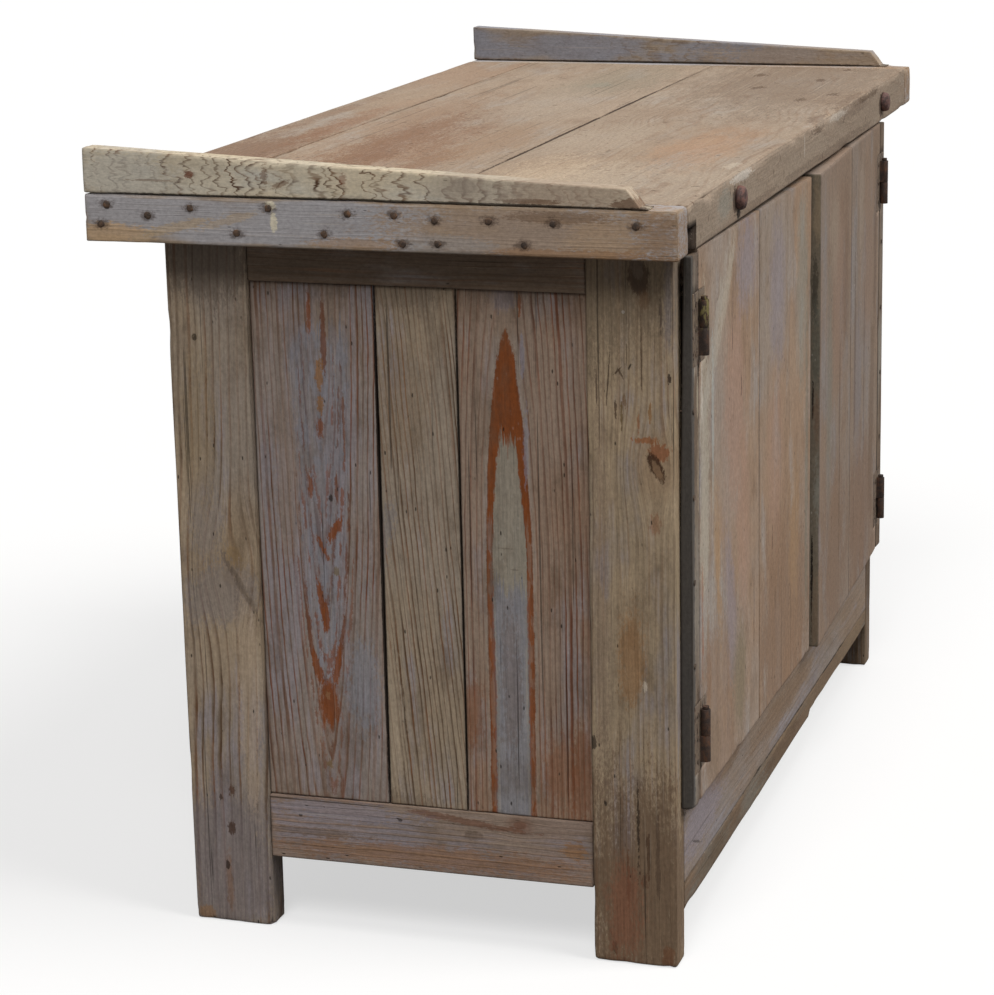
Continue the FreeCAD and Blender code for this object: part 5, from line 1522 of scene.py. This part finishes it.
def iron(name, dark, brown, orange, painted=None, spotted=None):
    """Rusty iron. The flat leaves took the doors' paint, and some is left on the knuckles."""
    material, tree = start_material(name)
    place = put(tree, "ShaderNodeTexCoord").outputs["Object"]
    rust = fill_group(tree, RUST, {"Place": place, "Dark": dark, "Brown": brown, "Orange": orange})
    colour = rust["Colour"]
    left = cloud(tree, place, (240.0, 240.0, 90.0), 4.0, 0.65)[0]
    if spotted:
        parts = put(tree, "ShaderNodeSeparateXYZ", {0: place}).outputs
        above = ramp(tree, parts[2], PAINTED_ABOVE - 0.005, PAINTED_ABOVE + 0.005)
        near = ramp(tree, parts[0], -0.1, 0.1, 1.0, 0.0)
        share = times(tree, ramp(tree, left, 0.47, 0.57), times(tree, above, near))
        colour = mix(tree, share, colour, spotted)
    if painted:
        parts = put(tree, "ShaderNodeSeparateXYZ", {0: place}).outputs
        plate = ramp(tree, parts[1], LEAF_FRONT - 0.0004, LEAF_FRONT + 0.0004)
        tint = mix(tree, ramp(tree, left, 0.4, 0.6), painted, tone(118, 100, 84))
        share = times(tree, plate, ramp(tree, left, 0.38, 0.52, 0.0, 0.9))
        colour = mix(tree, share, colour, tint)
    feeds = {"Height": rust["Height"], "Strength": 0.6, "Distance": RUST_HEIGHT}
    bump = put(tree, "ShaderNodeBump", feeds).outputs[0]
    coat(tree, {"Base Color": colour, "Roughness": rust["Roughness"], "Normal": bump, "Metallic": 0.15})
    return material


HINGE_RUST = iron("hinge_rust", tone(40, 29, 23), tone(62, 43, 32), tone(86, 56, 36),
                  painted=tone(148, 134, 118), spotted=tone(112, 102, 62))
NAIL_RUST = iron("nail_rust", tone(54, 42, 34), tone(84, 65, 51), tone(108, 79, 58))
SMALL_NAIL_RUST = iron("small_nail_rust", tone(66, 54, 44), tone(96, 80, 67), tone(112, 88, 70))
BOLT_RUST = iron("bolt_rust", tone(60, 43, 39), tone(106, 76, 70), tone(114, 78, 64))
iron_nodes = {
    "lath_nails": SMALL_NAIL_RUST, "left_door_nails": SMALL_NAIL_RUST, "right_door_nails": SMALL_NAIL_RUST,
    "tie_bolt_nuts": BOLT_RUST, "hinge_frame_leaves": HINGE_RUST, "hinge_pins": HINGE_RUST,
    "left_hinge_door_leaves": HINGE_RUST, "right_hinge_door_leaves": HINGE_RUST,
}
for node, material in iron_nodes.items():
    piece = frame["nodes"][node]
    piece.data.materials.clear()
    piece.data.materials.append(material)
    weld = piece.modifiers.new("weld", "WELD")
    weld.merge_threshold = SAME_CORNER
    bevel = piece.modifiers.new("soft_edges", "BEVEL")
    bevel.width = IRON_EDGE
    bevel.segments = 2
    bevel.limit_method = "ANGLE"
    bevel.angle_limit = math.radians(40.0)


def turned(source, centre, outline, axis, steps):
    """Turns an outline once round an axis; its points are radius and height above the centre."""
    outward = Vector(axis)
    sideways = Vector((1.0, 0.0, 0.0)) if outward.x == 0.0 else Vector((0.0, 1.0, 0.0))
    verts = [source.verts.new(centre + sideways * radius + outward * height) for radius, height in outline]
    edges = [source.edges.new(pair) for pair in zip(verts, verts[1:])]
    bmesh.ops.spin(source, geom=verts + edges, cent=centre, axis=[abs(part) for part in axis], angle=math.tau,
                   steps=steps, use_merge=True)


# Tie bolts with hammered heads
BOLT_RADIUS = 0.0058
BOLT_END = -0.6195
bolt_head = (
    (0.0, 0.0098), (0.0065, 0.0096), (0.0102, 0.0086), (0.0121, 0.0062), (0.0127, 0.0028), (0.0124, 0.0),
)
bolt_outline = bolt_head + ((BOLT_RADIUS, 0.0), (BOLT_RADIUS, BOLT_END), (0.0, BOLT_END))
bolts = bmesh.new()
for bolt_x in BOLT_PLACES:
    turned(bolts, Vector((bolt_x, WORKTOP_FRONT, BOLT_HEIGHT)), bolt_outline, (0.0, -1.0, 0.0), 28)
bmesh.ops.remove_doubles(bolts, verts=bolts.verts, dist=2.0 * SAME_CORNER)
for vert in bolts.verts:
    if vert.co.y < WORKTOP_FRONT - 0.0005:
        dent = noise.noise(vert.co * 160.0)
        vert.co.y += 0.0012 * (0.6 + 0.8 * dent)
        vert.co.z += 0.0010 * noise.noise(vert.co * 90.0)
finish_piece("tie_bolts_hammered", bolts, BOLT_RUST, CASE, ["tie_bolts"])

# Nails of the cleats, hammered flat and each a little different
NAIL_RADIUS = 0.0017
NAIL_UNDERSIDE = -0.0012
NAIL_END = -0.0574
NAIL_SEAT = 0.6449
nail_head = ((0.0, 0.0009), (0.0018, 0.00085), (0.0032, 0.0006), (0.0040, 0.0001), (0.0041, NAIL_UNDERSIDE))
nail_outline = nail_head + ((NAIL_RADIUS, NAIL_UNDERSIDE), (NAIL_RADIUS, NAIL_END), (0.0, NAIL_END))
nails = bmesh.new()
for side in (-1.0, 1.0):
    for nail_y, nail_z in NAIL_PLACES:
        size = 0.92 + 0.14 * noise.noise(Vector((nail_y * 90.0, nail_z * 70.0, side)))
        outline = [(radius * size, height) for radius, height in nail_outline]
        turned(nails, Vector((side * NAIL_SEAT, nail_y, nail_z)), outline, (side, 0.0, 0.0), 16)
bmesh.ops.remove_doubles(nails, verts=nails.verts, dist=2.0 * SAME_CORNER)
for vert in nails.verts:
    if abs(vert.co.x) > NAIL_SEAT - 0.0013:
        vert.co.y += 0.0011 * noise.noise(vert.co * 310.0)
        vert.co.z += 0.0011 * noise.noise(vert.co * 310.0 + Vector((7.0, 3.0, 5.0)))
finish_piece("cleat_nails_hammered", nails, NAIL_RUST, CASE, ["cleat_nails"])

# Floor, lights and camera
floor_block = bmesh.new()
bmesh.ops.create_grid(floor_block, x_segments=1, y_segments=1, size=60.0)
floor_mesh = bpy.data.meshes.new("studio_floor")
floor_block.to_mesh(floor_mesh)
floor_block.free()
studio_floor = bpy.data.objects.new("studio_floor", floor_mesh)
bpy.context.scene.collection.objects.link(studio_floor)
floor_paint, tree = start_material("floor_paint")
seen = put(tree, "ShaderNodeLightPath").outputs["Is Camera Ray"]
matt = put(tree, "ShaderNodeBsdfDiffuse", {"Color": (0.90, 0.90, 0.90, 1.0)}).outputs[0]
glow = put(tree, "ShaderNodeEmission", {"Color": (1.0, 1.0, 1.0, 1.0), "Strength": 1.0}).outputs[0]
pale = put(tree, "ShaderNodeMixShader", {0: 0.6, 1: matt, 2: glow}).outputs[0]
dull = put(tree, "ShaderNodeBsdfDiffuse", {"Color": (0.18, 0.175, 0.17, 1.0)}).outputs[0]
both = put(tree, "ShaderNodeMixShader", {0: seen, 1: dull, 2: pale}).outputs[0]
put(tree, "ShaderNodeOutputMaterial", {"Surface": both})
floor_mesh.materials.append(floor_paint)

world = bpy.data.worlds.new("studio")
bpy.context.scene.world = world
world.use_nodes = True
tree = world.node_tree
tree.nodes.clear()
path = put(tree, "ShaderNodeLightPath").outputs
straight = sums(tree, "MAXIMUM", path["Is Camera Ray"],
                sums(tree, "MAXIMUM", path["Is Glossy Ray"], path["Is Transmission Ray"]))
soft = put(tree, "ShaderNodeBackground", {"Color": (1.0, 0.99, 0.97, 1.0), "Strength": 0.2}).outputs[0]
white = put(tree, "ShaderNodeBackground", {"Color": (1.0, 1.0, 1.0, 1.0), "Strength": 1.0}).outputs[0]
sky = put(tree, "ShaderNodeMixShader", {0: straight, 1: soft, 2: white}).outputs[0]
put(tree, "ShaderNodeOutputWorld", {"Surface": sky})


def studio_lamp(name, towards, strength, spread, colour):
    """A broad soft lamp; towards points from the cabinet to the lamp."""
    lamp = bpy.data.lights.new(name, "SUN")
    lamp.energy = strength
    lamp.angle = math.radians(spread)
    lamp.color = colour
    piece = bpy.data.objects.new(name, lamp)
    piece.rotation_mode = "QUATERNION"
    piece.rotation_quaternion = Vector(towards).to_track_quat("Z", "Y")
    bpy.context.scene.collection.objects.link(piece)


studio_lamp("key_lamp", (0.0, -0.62, 0.78), 0.70 * math.pi, 30.0, (1.0, 0.985, 0.96))
studio_lamp("end_lamp", (-0.60, -0.08, 0.80), 0.50 * math.pi, 26.0, (1.0, 0.99, 0.98))

# The camera's turn, tilt and roll, its place and its lens, fitted to the photo
yaw = math.radians(16.663)
pitch = math.radians(-14.103)
roll = math.radians(-0.903)
ahead = Vector((math.cos(yaw) * math.cos(pitch), math.sin(yaw) * math.cos(pitch), math.sin(pitch)))
right = Vector((math.sin(yaw), -math.cos(yaw), 0.0))
upward = right.cross(ahead)
tilted_right = math.cos(roll) * right + math.sin(roll) * upward
tilted_up = -math.sin(roll) * right + math.cos(roll) * upward
camera_data = bpy.data.cameras.new("photo_camera")
camera_data.lens = 104.03
camera_data.sensor_width = 36.0
camera_data.shift_x = -0.0719
camera_data.shift_y = -0.0316
camera_data.clip_end = 200.0
camera = bpy.data.objects.new("photo_camera", camera_data)
turn = Matrix((tilted_right, tilted_up, -ahead)).transposed().to_4x4()
camera.matrix_world = Matrix.Translation((-3.2888, -0.9852, 1.2357)) @ turn
bpy.context.scene.collection.objects.link(camera)
bpy.context.scene.camera = camera
bpy.context.scene.view_settings.view_transform = "Standard"
